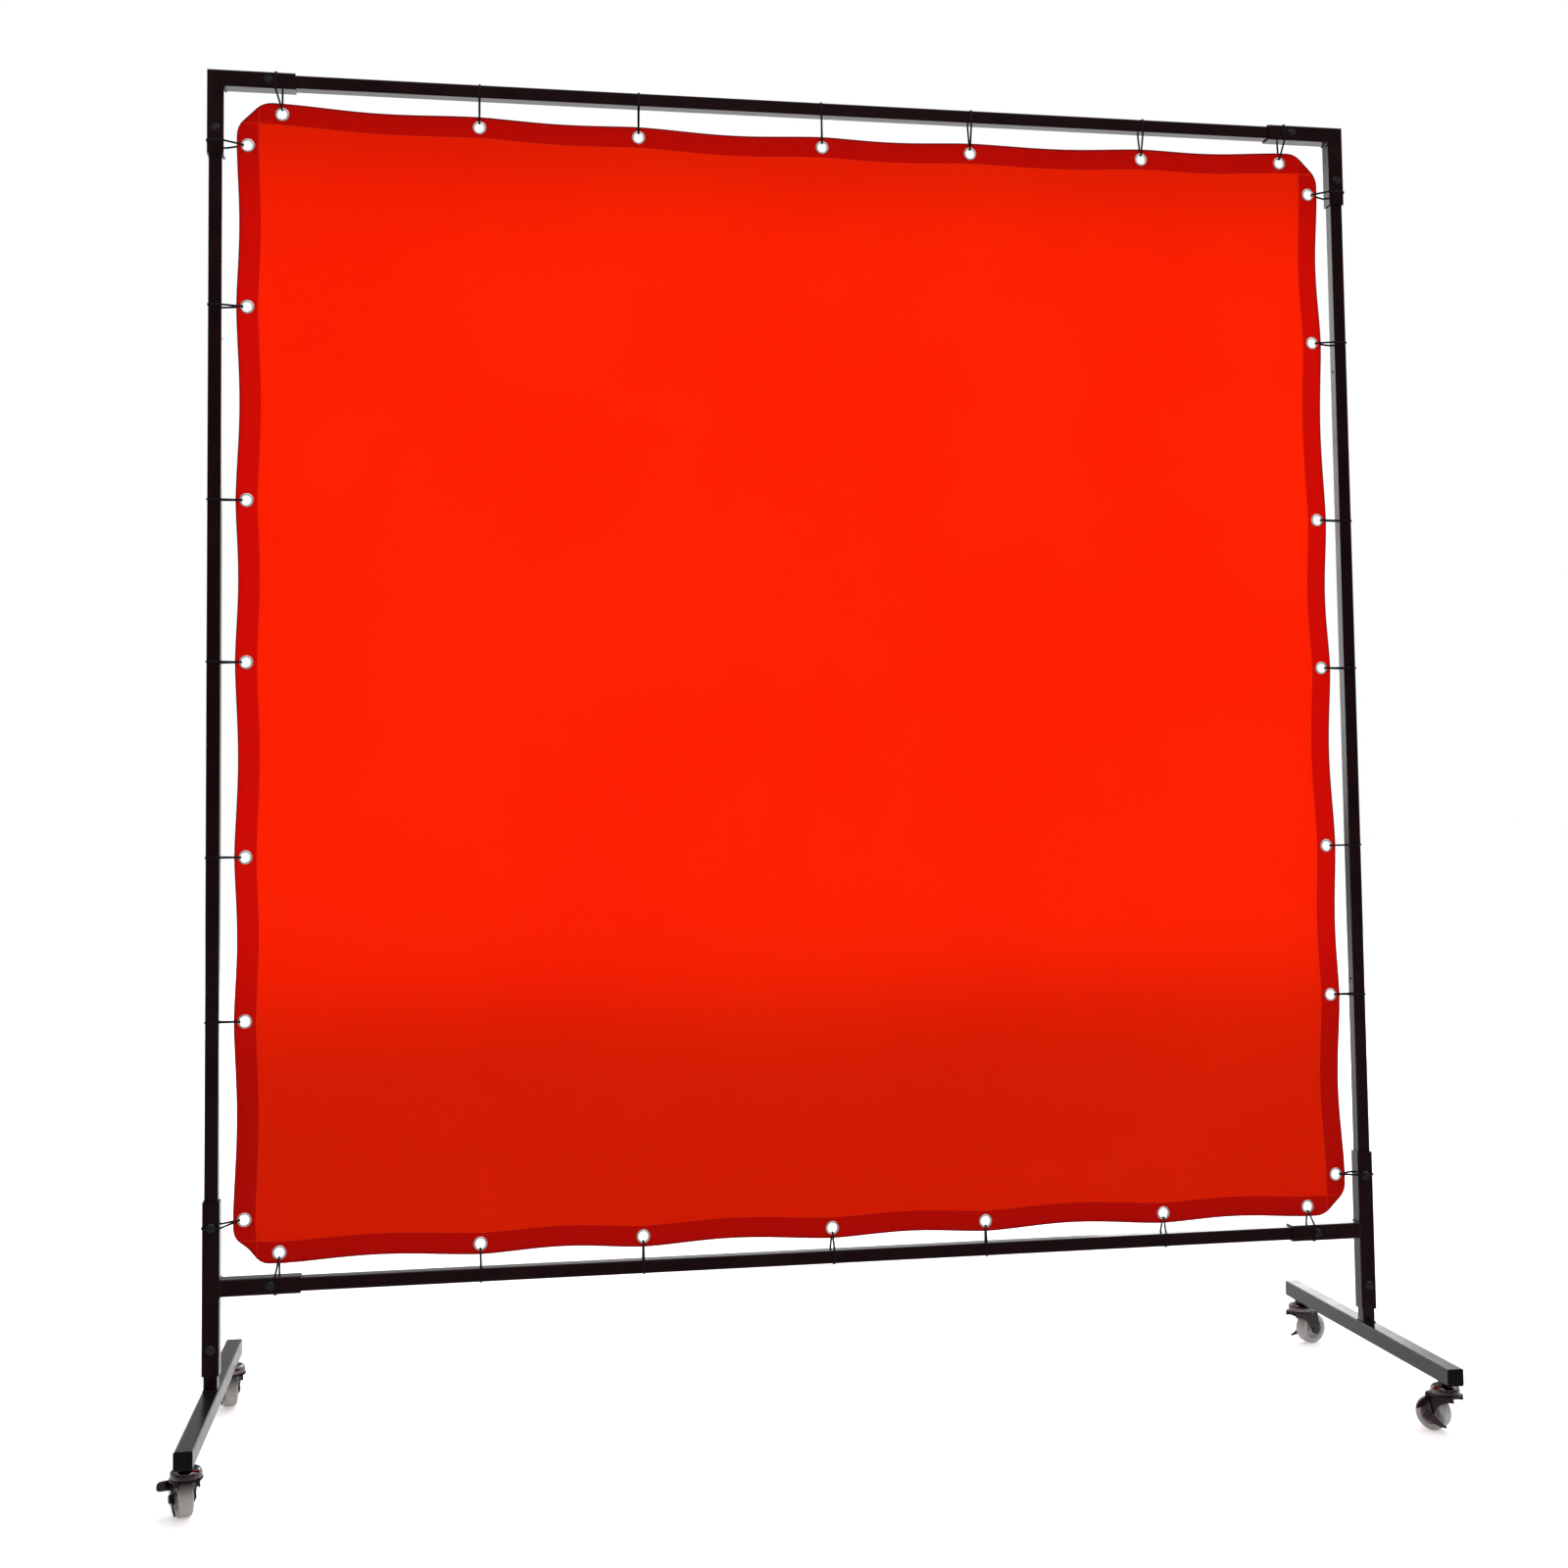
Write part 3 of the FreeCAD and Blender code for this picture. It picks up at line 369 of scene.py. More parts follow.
for corner in ("front_left", "front_right", "rear_left", "rear_right"):
    paint(black_steel, f"caster_{corner}_stem", f"caster_{corner}_axle")
    paint(race_painted_dark, f"caster_{corner}_race")
    paint(fork_black, f"caster_{corner}_fork")
    paint(tyre_grey, f"caster_{corner}_tyre")
    paint(wheel_grey, f"caster_{corner}_hub")
    paint(lever_painted_dark, f"caster_{corner}_brake")
paint(balls, "swivel_balls")
paint(zinc, "stem_nuts")

# ---------------------------------------------------------------------------------------------------
# Curtain: one sheet of red-orange PVC film, 1.74 m square, its four corners cut off.  A 32 mm hem is
# folded back and welded all round, so the film is double there, and triple where two hems cross.
# The ties pull it out at each eyelet and it curves in between them.
# ---------------------------------------------------------------------------------------------------
low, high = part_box("curtain")
HALF = (high.x - low.x) / 2
CENTRE = (low.z + high.z) / 2
CUT = 38 * MM
CORNER_RADIUS = 14 * MM
HEM = 32 * MM
FOLD = 1.8 * MM
HEM_STEP = 1 * MM
LONG_PITCH, SHORT_PITCH = 292 * MM, 244 * MM
EYELET_INSET = 16 * MM
EYELET_STEPS = [-1.5 * (LONG_PITCH + SHORT_PITCH)]
for i in range(6):
    EYELET_STEPS.append(EYELET_STEPS[-1] + (SHORT_PITCH if i % 2 else LONG_PITCH))
EYELET_LINE = HALF - EYELET_INSET
SIDES = {"left": (-1, 0), "right": (1, 0), "top": (0, 1), "bottom": (0, -1)}


def on_side(side, along, out):
    """A point of the flat curtain, along a side and out from its middle."""
    dx, dz = SIDES[side]
    return (out * dx, along) if dx else (along, out * dz)


def slack(along, depth):
    """How far a side has drawn in at a place along it: nothing at the eyelets, most half way between."""
    for first, last in zip(EYELET_STEPS, EYELET_STEPS[1:]):
        if first <= along <= last:
            share = (along - first) / (last - first)
            arch = (0.5 - 0.5 * math.cos(2 * math.pi * share)) ** 0.8
            return depth * arch * (last - first) / LONG_PITCH
    return 0.0


SLACK = {"left": 5 * MM, "right": 6 * MM, "top": 4.5 * MM, "bottom": 7 * MM}
SLACK_REACH, RIPPLE_REACH, RIPPLE_SHARE = 90 * MM, 70 * MM, 0.35
TOP_SAG, LEFT_SAG, RIGHT_SAG, TOP_DRIFT = 12 * MM, 8 * MM, 11 * MM, 8 * MM
LOW_RIGHT_DROP = 6 * MM
PINCH, PINCH_REACH = 3.5 * MM, 24 * MM
BILLOW, BILLOW_EASE = 3 * MM, 250 * MM
# Waves of the sheet: turn in radians per metre, and turn at the middle.
RIPPLE_RATE, RIPPLE_STARTS = 9.0, (1.3, 2.1)
BILLOW_X, BILLOW_Z = (2.1, 0.6), (1.7, -0.4)


def held_between(low, value, high):
    return min(high, max(low, value))


def sag(x, z):
    """How far the sheet's own weight has stretched it sideways and down: nothing at its top corners."""
    across = held_between(0.0, x / (2 * HALF) + 0.5, 1.0)
    down = held_between(0.0, 0.5 - z / (2 * HALF), 1.0)
    top = math.sin(math.pi * across)
    side = math.sin(math.pi * down**0.75)
    lower = (1 - across) * LEFT_SAG * side + across * RIGHT_SAG * side + LOW_RIGHT_DROP * across * down
    return TOP_DRIFT * top * (1 - down), (1 - down) * TOP_SAG * top + lower


def hang(x, z):
    """Where a point of the flat curtain hangs: drawn in at its sides, sagged and slightly wavy."""
    across = up = ripple = 0.0
    for side, (dx, dz) in SIDES.items():
        along, out = (z, x * dx) if dx else (x, z * dz)
        draw = slack(along, SLACK[side])
        pull = draw * math.exp(-(((HALF - out) / SLACK_REACH) ** 2))
        across -= pull * dx
        up -= pull * dz
        near = math.exp(-(((HALF - out) / RIPPLE_REACH) ** 2))
        start = RIPPLE_STARTS[0] * dx + RIPPLE_STARTS[1] * dz
        ripple += RIPPLE_SHARE * draw * near * math.sin(RIPPLE_RATE * along + start)
    from_corner = math.hypot(x + HALF - CUT / 2, z + HALF - CUT / 2)
    pinch = PINCH * math.exp(-(from_corner / PINCH_REACH) ** 2)
    free = held_between(0.0, min(HALF - abs(x), HALF - abs(z)) / BILLOW_EASE, 1.0)
    wave = math.sin(BILLOW_X[0] * x + BILLOW_X[1]) * math.cos(BILLOW_Z[0] * z + BILLOW_Z[1])
    billow = BILLOW * wave * free
    drift, drop = sag(x, z)
    return x + across + drift + pinch, billow + ripple, z + up - drop + pinch + CENTRE


def split(path, step, closed=False):
    """Points along a path no more than step apart."""
    ends = path[1:] + path[:1] if closed else path[1:]
    points = []
    for (ax, az), (bx, bz) in zip(path, ends):
        count = max(1, math.ceil(math.hypot(bx - ax, bz - az) / step))
        points += [(ax + (bx - ax) * i / count, az + (bz - az) * i / count) for i in range(count)]
    return points if closed else points + [path[-1]]


def outline(inset):
    """The curtain's outline moved in by inset, its corners cut and the cuts' ends rounded."""
    side = HALF - inset
    cut = CUT - inset * (2 - math.sqrt(2))
    ends = [(side, side - cut), (side - cut, side)]
    for _ in range(3):
        ends += [(-z, x) for x, z in ends[-2:]]
    ends = [Vector(end) for end in ends]
    path = []
    for before, end, after in zip(ends[-1:] + ends[:-1], ends, ends[1:] + ends[:1]):
        start = end + (before - end).normalized() * CORNER_RADIUS
        stop = end + (after - end).normalized() * CORNER_RADIUS
        path += [tuple(start.lerp(end, t).lerp(end.lerp(stop, t), t)) for t in (0, 0.25, 0.5, 0.75, 1)]
    return path


EDGE_STEP, HEM_STEP_ALONG = 12 * MM, 14 * MM
HOLE = 8 * MM
CLOTH_RINGS = ((11.5 * MM, 20), (15 * MM, 16))
FIELD_STEPS = 88
# How far loose points of the mesh keep from the hem's end, the fold and the hem's weld line.
HEM_ROOM, FOLD_ROOM, FIELD_ROOM = 2 * MM, 1.5 * MM, 8 * MM


def circle(cx, cz, radius, count):
    turns = [2 * math.pi * i / count for i in range(count)]
    return [(cx + radius * math.cos(a), cz + radius * math.sin(a)) for a in turns]


def flat_curtain():
    """Points and triangles of the flat curtain, split along fold, hem and eyelet holes."""
    points, edges = [], []

    def add(path, closed=False):
        first = len(points)
        points.extend(Vector(p) for p in path)
        edges.extend((first + i, first + i + 1) for i in range(len(path) - 1))
        if closed:
            edges.append((len(points) - 1, first))

    def on_hem(p):
        return HEM - HEM_ROOM > HALF - max(map(abs, p)) > FOLD + FOLD_ROOM

    for inset in (0.0, FOLD):
        add(split(outline(inset), EDGE_STEP, closed=True), closed=True)
    for inset in (HEM, HEM + HEM_STEP):
        line = HALF - inset
        reach = 2 * HALF - CUT - line - FOLD * (math.sqrt(2) - 1) - 0.01 * MM
        for side in SIDES:
            add(split([on_side(side, -reach, line), on_side(side, reach, line)], HEM_STEP_ALONG))
    hole_spots = [on_side(side, step, EYELET_LINE) for side in SIDES for step in EYELET_STEPS]
    for spot in hole_spots:
        add(circle(*spot, HOLE, 28), closed=True)
        for radius, count in CLOTH_RINGS:
            points.extend(Vector(p) for p in circle(*spot, radius, count) if on_hem(p))
    inner = HALF - HEM - HEM_STEP - FIELD_ROOM
    rows = [inner * (2 * i / FIELD_STEPS - 1) for i in range(FIELD_STEPS + 1)]
    points.extend(Vector((x, z)) for x in rows for z in rows)
    corners, _, faces, *_ = delaunay_2d_cdt(points, edges, [], 0, 1e-6)
    holes = [Vector(spot) for spot in hole_spots]
    kept = []
    for face in faces:
        middle = sum((corners[i] for i in face), Vector((0, 0))) / len(face)
        if all((middle - hole).length > HOLE - 0.1 * MM for hole in holes):
            kept.append(tuple(face))
    return corners, kept


def layers_at(x, z):
    """How many layers of film lie at a place, and whether it is in the edge's fold or in a weld line."""
    lines = [HEM < HALF - abs(out) < HEM + HEM_STEP for out in (x, z)]
    layers = 1 + (abs(x) > HALF - HEM) + (abs(z) > HALF - HEM)
    edge = max(abs(x), abs(z)) > HALF - FOLD or abs(x) + abs(z) > 2 * HALF - CUT - FOLD * math.sqrt(2)
    return layers, edge, any(lines)


FILM = 0.25 * MM
HEM_HALF = 0.6 * MM
EDGE_HALF = 0.35 * MM


def half_thickness(x, z, rim):
    if rim:
        return EDGE_HALF
    inset = HALF - max(abs(x), abs(z))
    return HEM_HALF if inset < HEM + HEM_STEP / 2 else FILM


def make_curtain():
    corners, faces = flat_curtain()
    used = sorted({i for face in faces for i in face})
    index = {old: new for new, old in enumerate(used)}
    faces = [tuple(index[i] for i in face) for face in faces]
    flat = [corners[i] for i in used]
    sides = {}
    for face in faces:
        for a, b in zip(face, face[1:] + face[:1]):
            sides.setdefault(frozenset((a, b)), []).append((a, b))
    rim_edges = [pairs[0] for pairs in sides.values() if len(pairs) == 1]
    rim = {i for edge in rim_edges for i in edge}
    front, back = [], []
    for i, spot in enumerate(flat):
        x, y, z = hang(spot.x, spot.y)
        thick = half_thickness(spot.x, spot.y, i in rim)
        front.append((x, y - thick, z))
        back.append((x, y + thick, z))
    count = len(flat)
    all_faces = list(faces)
    all_faces += [tuple(i + count for i in reversed(face)) for face in faces]
    all_faces += [(b, a, a + count, b + count) for a, b in rim_edges]
    mesh = bpy.data.meshes.new("curtain_sheet")
    mesh.from_pydata(front + back, [], all_faces)
    layers, folds, welds = [], [], []
    for face in all_faces:
        spots = [flat[i % count] for i in face]
        middle = sum(spots, Vector((0, 0))) / len(spots)
        number, edge, weld = layers_at(middle.x, middle.y)
        layers.append(float(number))
        folds.append(float(edge))
        welds.append(float(weld))
    for name, values in (("layers", layers), ("fold", folds), ("weld", welds)):
        mesh.attributes.new(name, "FLOAT", "FACE").data.foreach_set("value", values)
    uv = mesh.uv_layers.new(name="flat")
    for loop in mesh.loops:
        spot = flat[loop.vertex_index % count]
        uv.data[loop.index].uv = (spot.x / (2 * HALF) + 0.5, spot.y / (2 * HALF) + 0.5)
    mesh.shade_smooth()
    return new_object("curtain_sheet", mesh)


FILM_COLOURS = (0.625, 0.058, 0.0), (0.615, 0.050, 0.0)
HEM_COLOUR, CROSSED_COLOUR = (0.485, 0.018, 0.006), (0.46, 0.0165, 0.006)
WELD_COLOUR, FOLD_COLOUR = (0.59, 0.080, 0.025), (0.25, 0.010, 0.03)
THROUGH_SHARE = 0.86


def pvc_film():
    """Tinted film: mostly light passed through and scattered, with a soft shine on top."""
    material = new_finish("red_orange_pvc", FILM_COLOURS[0], 0.40, Specular_IOR_Level=0.15)
    add_grain(material, 2.2 * MM, 0.01 * MM)
    tree = material.node_tree
    shader = tree.nodes["Principled BSDF"]

    def attribute(name):
        node = tree.nodes.new("ShaderNodeAttribute")
        node.attribute_name = name
        return node.outputs["Fac"]

    layers = attribute("layers")
    film = blend(tree, ramp(tree, noise_on(tree, 1 / 2.2, 3.0), 0.35, 0.65), *FILM_COLOURS)
    hem = blend(tree, ramp(tree, layers, 1.0, 2.0), film, HEM_COLOUR)
    crossed = blend(tree, ramp(tree, layers, 2.0, 3.0), hem, CROSSED_COLOUR)
    welded = blend(tree, attribute("weld"), crossed, WELD_COLOUR)
    colour = blend(tree, attribute("fold"), welded, FOLD_COLOUR)
    through = tree.nodes.new("ShaderNodeBsdfTranslucent")
    mix = tree.nodes.new("ShaderNodeMixShader")
    mix.inputs["Fac"].default_value = THROUGH_SHARE
    join(
        tree,
        (colour, shader.inputs["Base Color"]),
        (colour, through.inputs["Color"]),
        (shader.outputs["BSDF"], mix.inputs[1]),
        (through.outputs["BSDF"], mix.inputs[2]),
        (mix.outputs["Shader"], tree.nodes["Material Output"].inputs["Surface"]),
    )
    return material


curtain = make_curtain()
curtain.data.materials.append(pvc_film())
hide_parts("curtain")
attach(curtain, "frame")

# ---------------------------------------------------------------------------------------------------
# Eyelets: 28 rolled nickel eyelets, a domed flange in front, a flat one behind and a barrel between,
# pressed through the hem.
# ---------------------------------------------------------------------------------------------------
nickel = new_finish("nickel_eyelet", (0.80, 0.79, 0.78), 0.33, 0.75)
add_mottle(nickel, 4 * MM, 0.08, 0.07)
add_grain(nickel, 0.6 * MM, 0.004 * MM)


def eyelet_tree():
    tree, start, end = new_tree(
        "rolled_eyelet",
        Hole_radius=7.2 * MM,
        Flange_radius=10.4 * MM,
        Barrel_half=0.4 * MM,
        Flange_depth=0.8 * MM,
        Hem_depth=1.2 * MM,
    )

    def maths(operation, a, b):
        node = tree.nodes.new("ShaderNodeMath")
        node.operation = operation
        for socket, value in zip(node.inputs, (a, b)):
            if isinstance(value, float):
                socket.default_value = value
            else:
                tree.links.new(value, socket)
        return node.outputs[0]

    hole, flange = start.outputs["Hole radius"], start.outputs["Flange radius"]
    depth, hem = start.outputs["Flange depth"], start.outputs["Hem depth"]
    wall = start.outputs["Barrel half"]
    middle = maths("MULTIPLY", maths("ADD", hole, flange), 0.5)
    width = maths("MULTIPLY", maths("SUBTRACT", flange, hole), 0.5)

    def ring(radius, half_width, half_depth, away):
        """A ring about Z of oval section, away from the cloth's middle."""
        path = tree.nodes.new("GeometryNodeCurvePrimitiveCircle")
        path.inputs["Resolution"].default_value = 28
        section = tree.nodes.new("GeometryNodeCurvePrimitiveCircle")
        section.inputs["Resolution"].default_value = 10
        section.inputs["Radius"].default_value = 1.0
        flat = tree.nodes.new("GeometryNodeTransform")
        scale = tree.nodes.new("ShaderNodeCombineXYZ")
        sweep = tree.nodes.new("GeometryNodeCurveToMesh")
        shift = tree.nodes.new("GeometryNodeTransform")
        place = tree.nodes.new("ShaderNodeCombineXYZ")
        join(
            tree,
            (radius, path.inputs["Radius"]),
            (half_width, scale.inputs["X"]),
            (half_depth, scale.inputs["Y"]),
            (scale.outputs["Vector"], flat.inputs["Scale"]),
            (section.outputs["Curve"], flat.inputs["Geometry"]),
            (path.outputs["Curve"], sweep.inputs["Curve"]),
            (flat.outputs["Geometry"], sweep.inputs["Profile Curve"]),
            (sweep.outputs["Mesh"], shift.inputs["Geometry"]),
            (away, place.inputs["Z"]),
            (place.outputs["Vector"], shift.inputs["Translation"]),
        )
        return shift.outputs["Geometry"]

    seat = maths("MULTIPLY", hem, 0.5)
    domed = ring(middle, width, depth, seat)
    washer = ring(middle, width, maths("MULTIPLY", depth, 0.6), maths("MULTIPLY", seat, -1.0))
    barrel = ring(maths("ADD", hole, wall), wall, seat, maths("MULTIPLY", hem, 0.0))
    whole = tree.nodes.new("GeometryNodeJoinGeometry")
    smooth = tree.nodes.new("GeometryNodeSetShadeSmooth")
    upright = tree.nodes.new("GeometryNodeTransform")
    upright.inputs["Rotation"].default_value = (math.pi / 2, 0, 0)
    place = tree.nodes.new("GeometryNodeInstanceOnPoints")
    join(
        tree,
        (domed, whole.inputs["Geometry"]),
        (washer, whole.inputs["Geometry"]),
        (barrel, whole.inputs["Geometry"]),
        (whole.outputs["Geometry"], smooth.inputs["Geometry"]),
        (smooth.outputs["Geometry"], upright.inputs["Geometry"]),
        (start.outputs["Geometry"], place.inputs["Points"]),
        (upright.outputs["Geometry"], place.inputs["Instance"]),
    )
    end_tree(tree, end, place.outputs["Instances"], nickel)
    return tree


spots = [hang(*on_side(side, step, EYELET_LINE)) for side in SIDES for step in EYELET_STEPS]
eyelets = grow(lines_object("eyelet_rings", [[spot] for spot in spots], closed=False), eyelet_tree())
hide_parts("eyelets")
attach(eyelets, "frame")

# ---------------------------------------------------------------------------------------------------
# Ties: a black nylon cable tie through each eyelet and round the tube, its head and cut tail behind.
# Some were pulled tight askew, so that their two strands open into a V.
# ---------------------------------------------------------------------------------------------------
nylon = new_finish("black_nylon", (0.004, 0.004, 0.006), 0.38, IOR=1.3)
add_mottle(nylon, 6 * MM, 0.25, 0.06)
add_grain(nylon, 0.7 * MM, 0.03 * MM)
TIE_WIDTH, TIE_DEPTH = 3 * MM, 1.1 * MM
HEAD_WIDTH, HEAD_DEPTH, HEAD_LENGTH = 4.8 * MM, 3.8 * MM, 5 * MM
TAIL = 6 * MM
TUBE_HALF, SLEEVE_HALF = 10 * MM, 12.5 * MM


def tie_tree():
    tree, start, end = new_tree(
        "cable_tie",
        Band_width=TIE_WIDTH,
        Band_depth=TIE_DEPTH,
        Corner_radius=1.6 * MM,
        Edge_radius=0.25 * MM,
        Band_axis=(1.0, 0.0, 0.0),
    )
    line = tree.nodes.new("GeometryNodeMeshToCurve")
    bend = tree.nodes.new("GeometryNodeFilletCurve")
    bend.mode = "POLY"
    bend.inputs["Count"].default_value = 4
    bend.inputs["Limit Radius"].default_value = True
    facing = tree.nodes.new("GeometryNodeSetCurveNormal")
    facing.mode = "FREE"
    section = tree.nodes.new("GeometryNodeCurvePrimitiveQuadrilateral")
    edge = tree.nodes.new("GeometryNodeFilletCurve")
    edge.mode = "POLY"
    edge.inputs["Count"].default_value = 2
    edge.inputs["Limit Radius"].default_value = True
    sweep = tree.nodes.new("GeometryNodeCurveToMesh")
    sweep.inputs["Fill Caps"].default_value = True
    join(
        tree,
        (start.outputs["Geometry"], line.inputs["Mesh"]),
        (line.outputs["Curve"], bend.inputs["Curve"]),
        (start.outputs["Corner radius"], bend.inputs["Radius"]),
        (bend.outputs["Curve"], facing.inputs["Curve"]),
        (start.outputs["Band axis"], facing.inputs["Normal"]),
        (start.outputs["Band width"], section.inputs["Width"]),
        (start.outputs["Band depth"], section.inputs["Height"]),
        (section.outputs["Curve"], edge.inputs["Curve"]),
        (start.outputs["Edge radius"], edge.inputs["Radius"]),
        (facing.outputs["Curve"], sweep.inputs["Curve"]),
        (edge.outputs["Curve"], sweep.inputs["Profile Curve"]),
    )
    end_tree(tree, end, sweep.outputs["Mesh"], nylon)
    return tree


def merged(name, parts, material):
    """One piece made of several, which are removed."""
    whole = bmesh.new()
    for part in parts:
        whole.from_mesh(part.data)
    mesh = bpy.data.meshes.new(name)
    whole.to_mesh(mesh)
    whole.free()
    mesh.materials.append(material)
    for part in parts:
        bpy.data.objects.remove(part)
    return new_object(name, mesh)


# How far along the tube the front and the rear strand of each tie have slipped, in millimetres.
SLIPS = {
    "top": ((-9, -1), (0.5, 0), (0, 1), (-2.5, 2), (0.5, 0), (1, 0), (5, 4)),
    "bottom": ((-5, -1), (0.5, 1), (0, 0), (1, -1.5), (-1.5, 2), (0, -1), (5, 3.5)),
    "left": ((-8, -6.8), (0.5, 0), (0, 0.5), (0, 0), (-1.2, 1.2), (-0.5, 0.5), (1.5, -1)),
    "right": ((-0.5, 0), (0, 0), (0.5, 0), (-0.5, 0), (-2, 0.6), (0.4, 0), (3, -1)),
}
TUBES = {"left": "upright_left", "right": "upright_right", "top": "top_rail", "bottom": "lower_rail"}
TIE_ROOM, HEM_CLEAR, EYELET_HOLE = 0.1 * MM, 1.9 * MM, 7.2 * MM
AHEAD, BEHIND = Vector((0, -1, 0)), Vector((0, 1, 0))
band = tie_tree()
for side, (dx, dz) in SIDES.items():
    out_way = Vector((dx, 0, dz))
    along_way = Vector((0, 0, 1)) if dx else Vector((1, 0, 0))
    low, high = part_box(TUBES[side])
    loops, heads, tails = [], [], []
    for number, (step, slips) in enumerate(zip(EYELET_STEPS, SLIPS[side])):
        eye = Vector(hang(*on_side(side, step, EYELET_LINE)))
        tube_half = SLEEVE_HALF if number in (0, 6) else TUBE_HALF
        reach = tube_half + TIE_DEPTH / 2 + TIE_ROOM
        at_tube = (low + high) / 2
        if dx:
            at_tube.z = eye.z
        else:
            at_tube.x = eye.x
        at_tube.y = 0
        front, rear = (along_way * slip * MM for slip in slips)
        nose = eye + out_way * (EYELET_HOLE - TIE_DEPTH)
        corner = out_way * reach
        loops.append([
            nose + AHEAD * HEM_CLEAR,
            at_tube - corner + AHEAD * reach + front,
            at_tube + corner + AHEAD * reach + front,
            at_tube + corner + BEHIND * reach + rear,
            at_tube - corner + BEHIND * reach + rear,
            nose + BEHIND * HEM_CLEAR,
        ])
        seat = at_tube + out_way * (reach - 1 * MM) + BEHIND * (reach + HEAD_DEPTH / 2) + rear
        heads.append([seat - out_way * HEAD_LENGTH * share for share in (0, 0.5, 1)])
        mouth = heads[-1][1] + BEHIND * (HEAD_DEPTH / 2 - 0.5 * MM)
        tails.append([mouth, mouth + BEHIND * 2 * MM, mouth + BEHIND * TAIL - out_way * 1.5 * MM])
    facing = {"Band_axis": tuple(along_way)}
    head_sizes = {"Band_width": HEAD_WIDTH, "Band_depth": HEAD_DEPTH, "Edge_radius": 0.9 * MM}
    bands = grow(lines_object("bands", loops), band, **facing)
    head_blocks = grow(lines_object("heads", heads, closed=False), band, **head_sizes, **facing)
    cut_tails = grow(lines_object("tails", tails, closed=False), band, **facing)
    piece = merged(f"cable_ties_{side}", [bands, head_blocks, cut_tails], nylon)
    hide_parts(f"ties_{side}")
    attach(piece, "frame")

# ---------------------------------------------------------------------------------------------------
# Studio: a plain pale floor, soft lights behind the screen and above it, a weak one in front, one just
# behind the film for the film alone, and the camera, low and a little left of the middle.
# ---------------------------------------------------------------------------------------------------
floor_mesh = bpy.data.meshes.new("floor")
FLOOR = 60.0
floor_mesh.from_pydata(
    [(-FLOOR, -FLOOR, 0), (FLOOR, -FLOOR, 0), (FLOOR, FLOOR, 0), (-FLOOR, FLOOR, 0)], [], [(0, 1, 2, 3)]
)
floor = new_object("floor", floor_mesh)
FLOOR_GLOW = 0.32
PALE, DULL, DARK = (0.86, 0.86, 0.86), (0.86, 0.88, 0.90), (0.10, 0.095, 0.10)
pale_floor = new_finish("pale_floor", PALE, 0.8)
floor.data.materials.append(pale_floor)


def soft_light(name, place, target, width, height, brightness):
    """A rectangular light of that brightness, unseen by the camera."""
    lamp = bpy.data.lights.new(name, "AREA")
    lamp.shape = "RECTANGLE"
    lamp.size, lamp.size_y = width, height
    lamp.energy = brightness * math.pi * width * height
    light = bpy.data.objects.new(name, lamp)
    light.location = place
    light.rotation_euler = (Vector(target) - Vector(place)).to_track_quat("-Z", "Y").to_euler()
    light.visible_camera = False
    bpy.context.scene.collection.objects.link(light)
    return light


soft_light("back_light", (2.2, 5.5, 3.8), (0, 0, 1.2), 5.0, 2.6, 2.8)
soft_light("left_back_light", (-5.2, 12.0, 3.7), (0, 0, 1.6), 2.4, 5.4, 4.0)
soft_light("right_back_light", (5.85, 12.0, 2.8), (0, 0, 0.1), 2.4, 1.7, 4.0)
floor_light = soft_light("floor_light", (0, 6.5, 3.4), (0, 6.5, 0), 10.0, 5.0, 3.0)
floor_light.visible_glossy = False
soft_light("front_light", (-3.0, -4.5, 3.4), (0, 0, 1.0), 2.5, 2.5, 0.5)
soft_light("top_light", (0, 0, 5.0), (0, 0, 0), 4.0, 4.0, 0.8)
film_light = soft_light("film_light", (0, 0.09, 1.29), (0, 0, 1.29), 2.0, 1.27, 1.8)
film_light.data.color = (0.74, 1.0, 0.6)
film_light.visible_glossy = False
lit_pieces = bpy.data.collections.new("lit_by_film_light")
lit_pieces.objects.link(curtain)
film_light.light_linking.receiver_collection = lit_pieces

# The floor is pale and glows a little, but mirrored in paint and plating it is dark in front of the
# screen and a dull blue grey up to 2 m behind it.
tree = pale_floor.node_tree
shader = tree.nodes["Principled BSDF"]
place = tree.nodes.new("ShaderNodeTexCoord")
parts = tree.nodes.new("ShaderNodeSeparateXYZ")
path = tree.nodes.new("ShaderNodeLightPath")
depth, in_mirror = parts.outputs["Y"], path.outputs["Is Glossy Ray"]
front_to_middle = blend(tree, ramp(tree, depth, -0.5, -0.1), DARK, DULL)
mirrored = blend(tree, ramp(tree, depth, 1.5, 3.0), front_to_middle, PALE)
shader.inputs["Emission Color"].default_value = (1, 1, 1, 1)
join(
    tree,
    (place.outputs["Object"], parts.inputs["Vector"]),
    (blend(tree, in_mirror, PALE, mirrored), shader.inputs["Base Color"]),
    (ramp(tree, in_mirror, 0.0, 1.0, FLOOR_GLOW, 0.0), shader.inputs["Emission Strength"]),
)

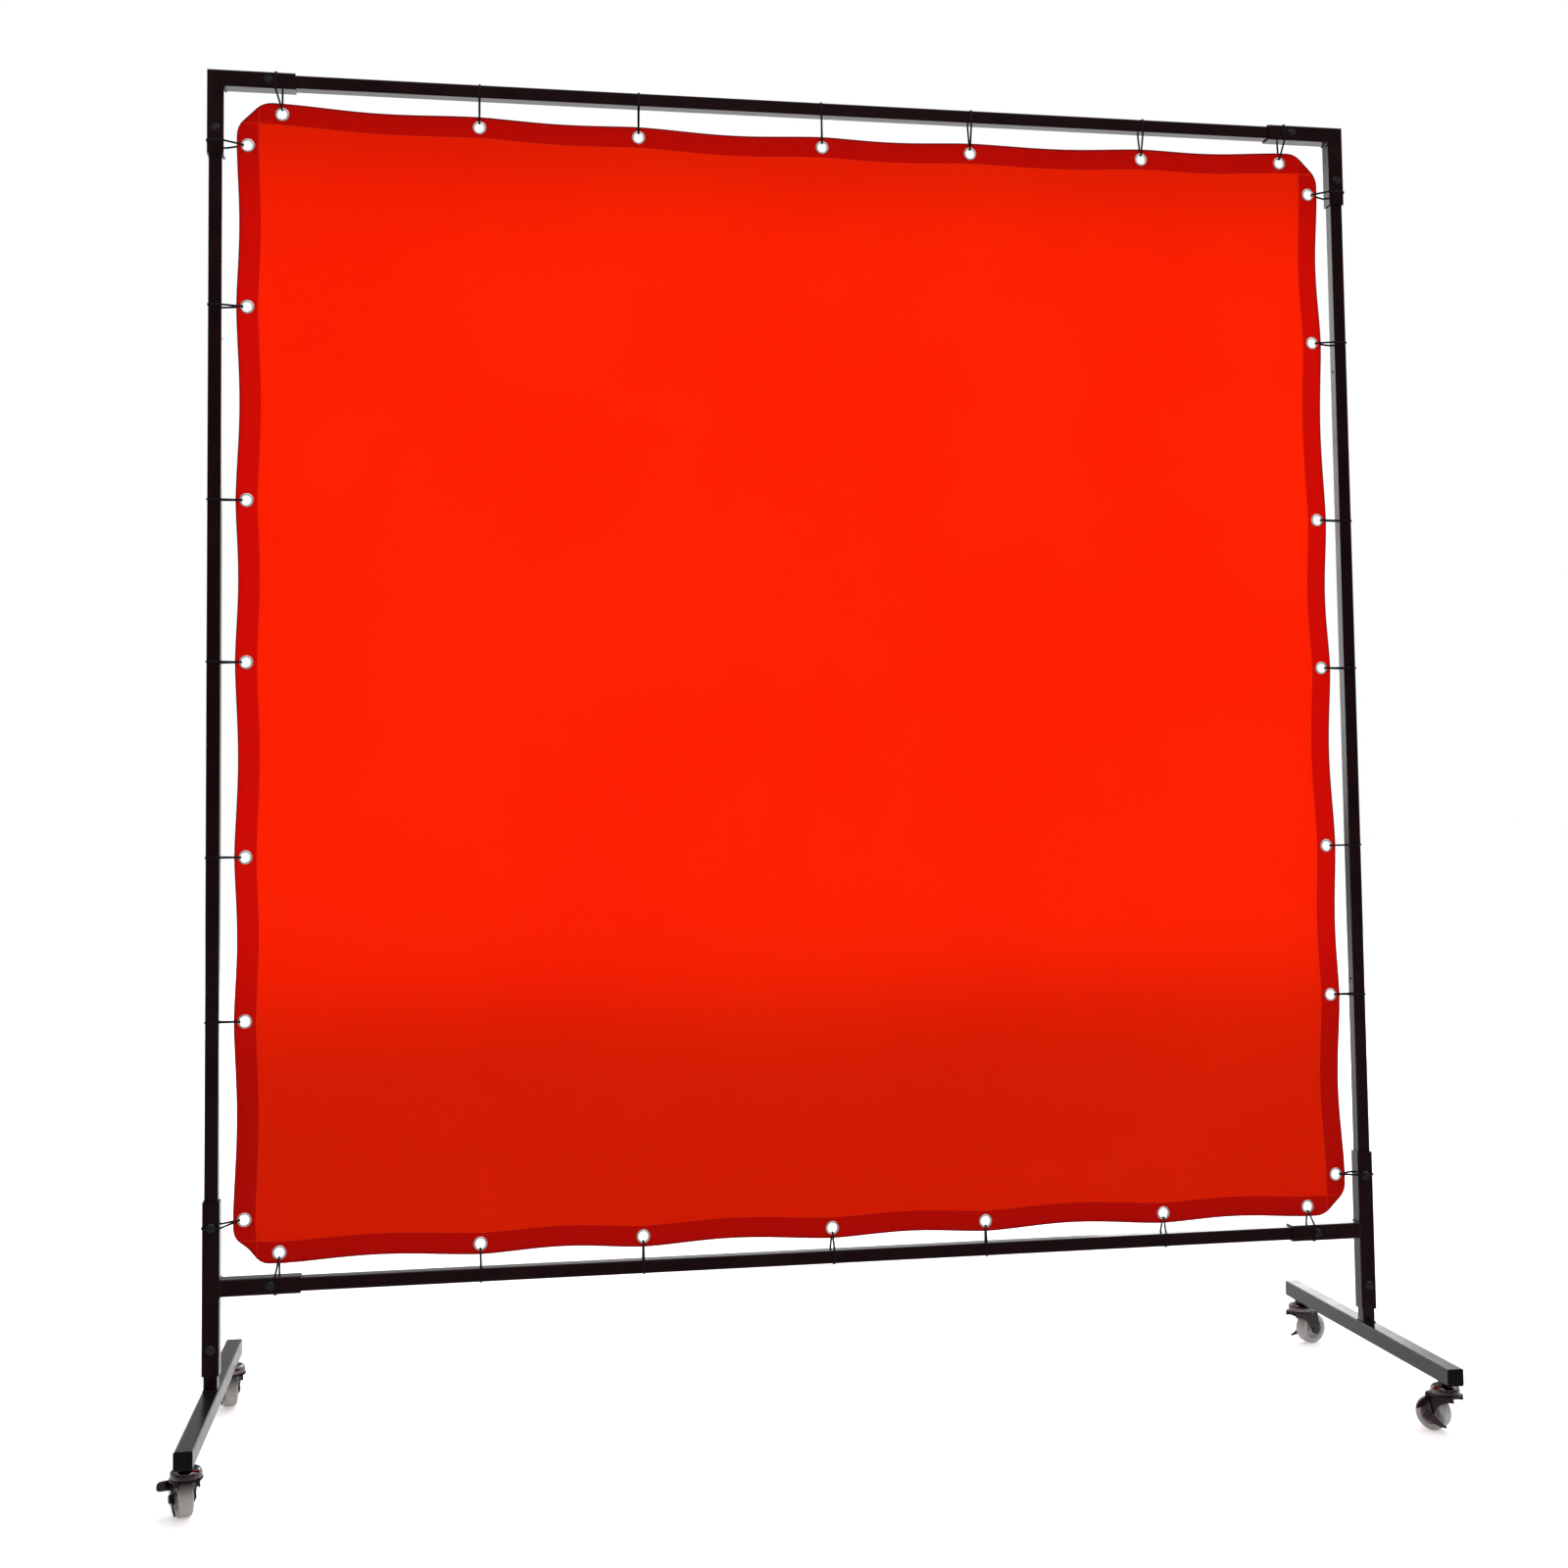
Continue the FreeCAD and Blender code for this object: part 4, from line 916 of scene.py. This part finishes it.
# The air round the screen is white to the camera.  It lights the screen brightly from above and behind,
# less from the back left, and hardly from in front.
ABOVE_STRENGTH = 1.75
world = bpy.data.worlds.new("studio")
bpy.context.scene.world = world
world.use_nodes = True
tree = world.node_tree
lit = tree.nodes["Background"]
lit.inputs["Color"].default_value = (1, 1, 1, 1)
seen = tree.nodes.new("ShaderNodeBackground")
seen.inputs["Color"].default_value = (1, 1, 1, 1)
direction = tree.nodes.new("ShaderNodeTexCoord")
parts = tree.nodes.new("ShaderNodeSeparateXYZ")
strength = tree.nodes.new("ShaderNodeMix")
strength.inputs["B"].default_value = ABOVE_STRENGTH
dimmed = tree.nodes.new("ShaderNodeMath")
dimmed.operation = "MULTIPLY"
path = tree.nodes.new("ShaderNodeLightPath")
choose = tree.nodes.new("ShaderNodeMixShader")
join(
    tree,
    (direction.outputs["Generated"], parts.inputs["Vector"]),
    (ramp(tree, parts.outputs["Y"], -0.5, 0.1, 0.07, 0.95, smooth=True), strength.inputs["A"]),
    (ramp(tree, parts.outputs["Z"], 0.3, 0.8, smooth=True), strength.inputs["Factor"]),
    (strength.outputs["Result"], dimmed.inputs[0]),
    (ramp(tree, parts.outputs["X"], -0.25, 0.2, 0.35, 1.0, smooth=True), dimmed.inputs[1]),
    (dimmed.outputs["Value"], lit.inputs["Strength"]),
    (path.outputs["Is Camera Ray"], choose.inputs["Fac"]),
    (lit.outputs["Background"], choose.inputs[1]),
    (seen.outputs["Background"], choose.inputs[2]),
    (choose.outputs["Shader"], tree.nodes["World Output"].inputs["Surface"]),
)

camera_data = bpy.data.cameras.new("camera")
camera_data.lens = 42.78
camera_data.sensor_width = 36
camera_data.shift_x = 0.0045
camera_data.shift_y = -0.0381
camera_data.clip_end = 200
camera = bpy.data.objects.new("camera", camera_data)
camera.location = (-0.530, -2.861, 0.9075)
camera.rotation_euler = [math.radians(a) for a in (93.164, 0.716, -9.434)]
bpy.context.scene.collection.objects.link(camera)
bpy.context.scene.camera = camera
bpy.context.scene.view_settings.view_transform = "Standard"
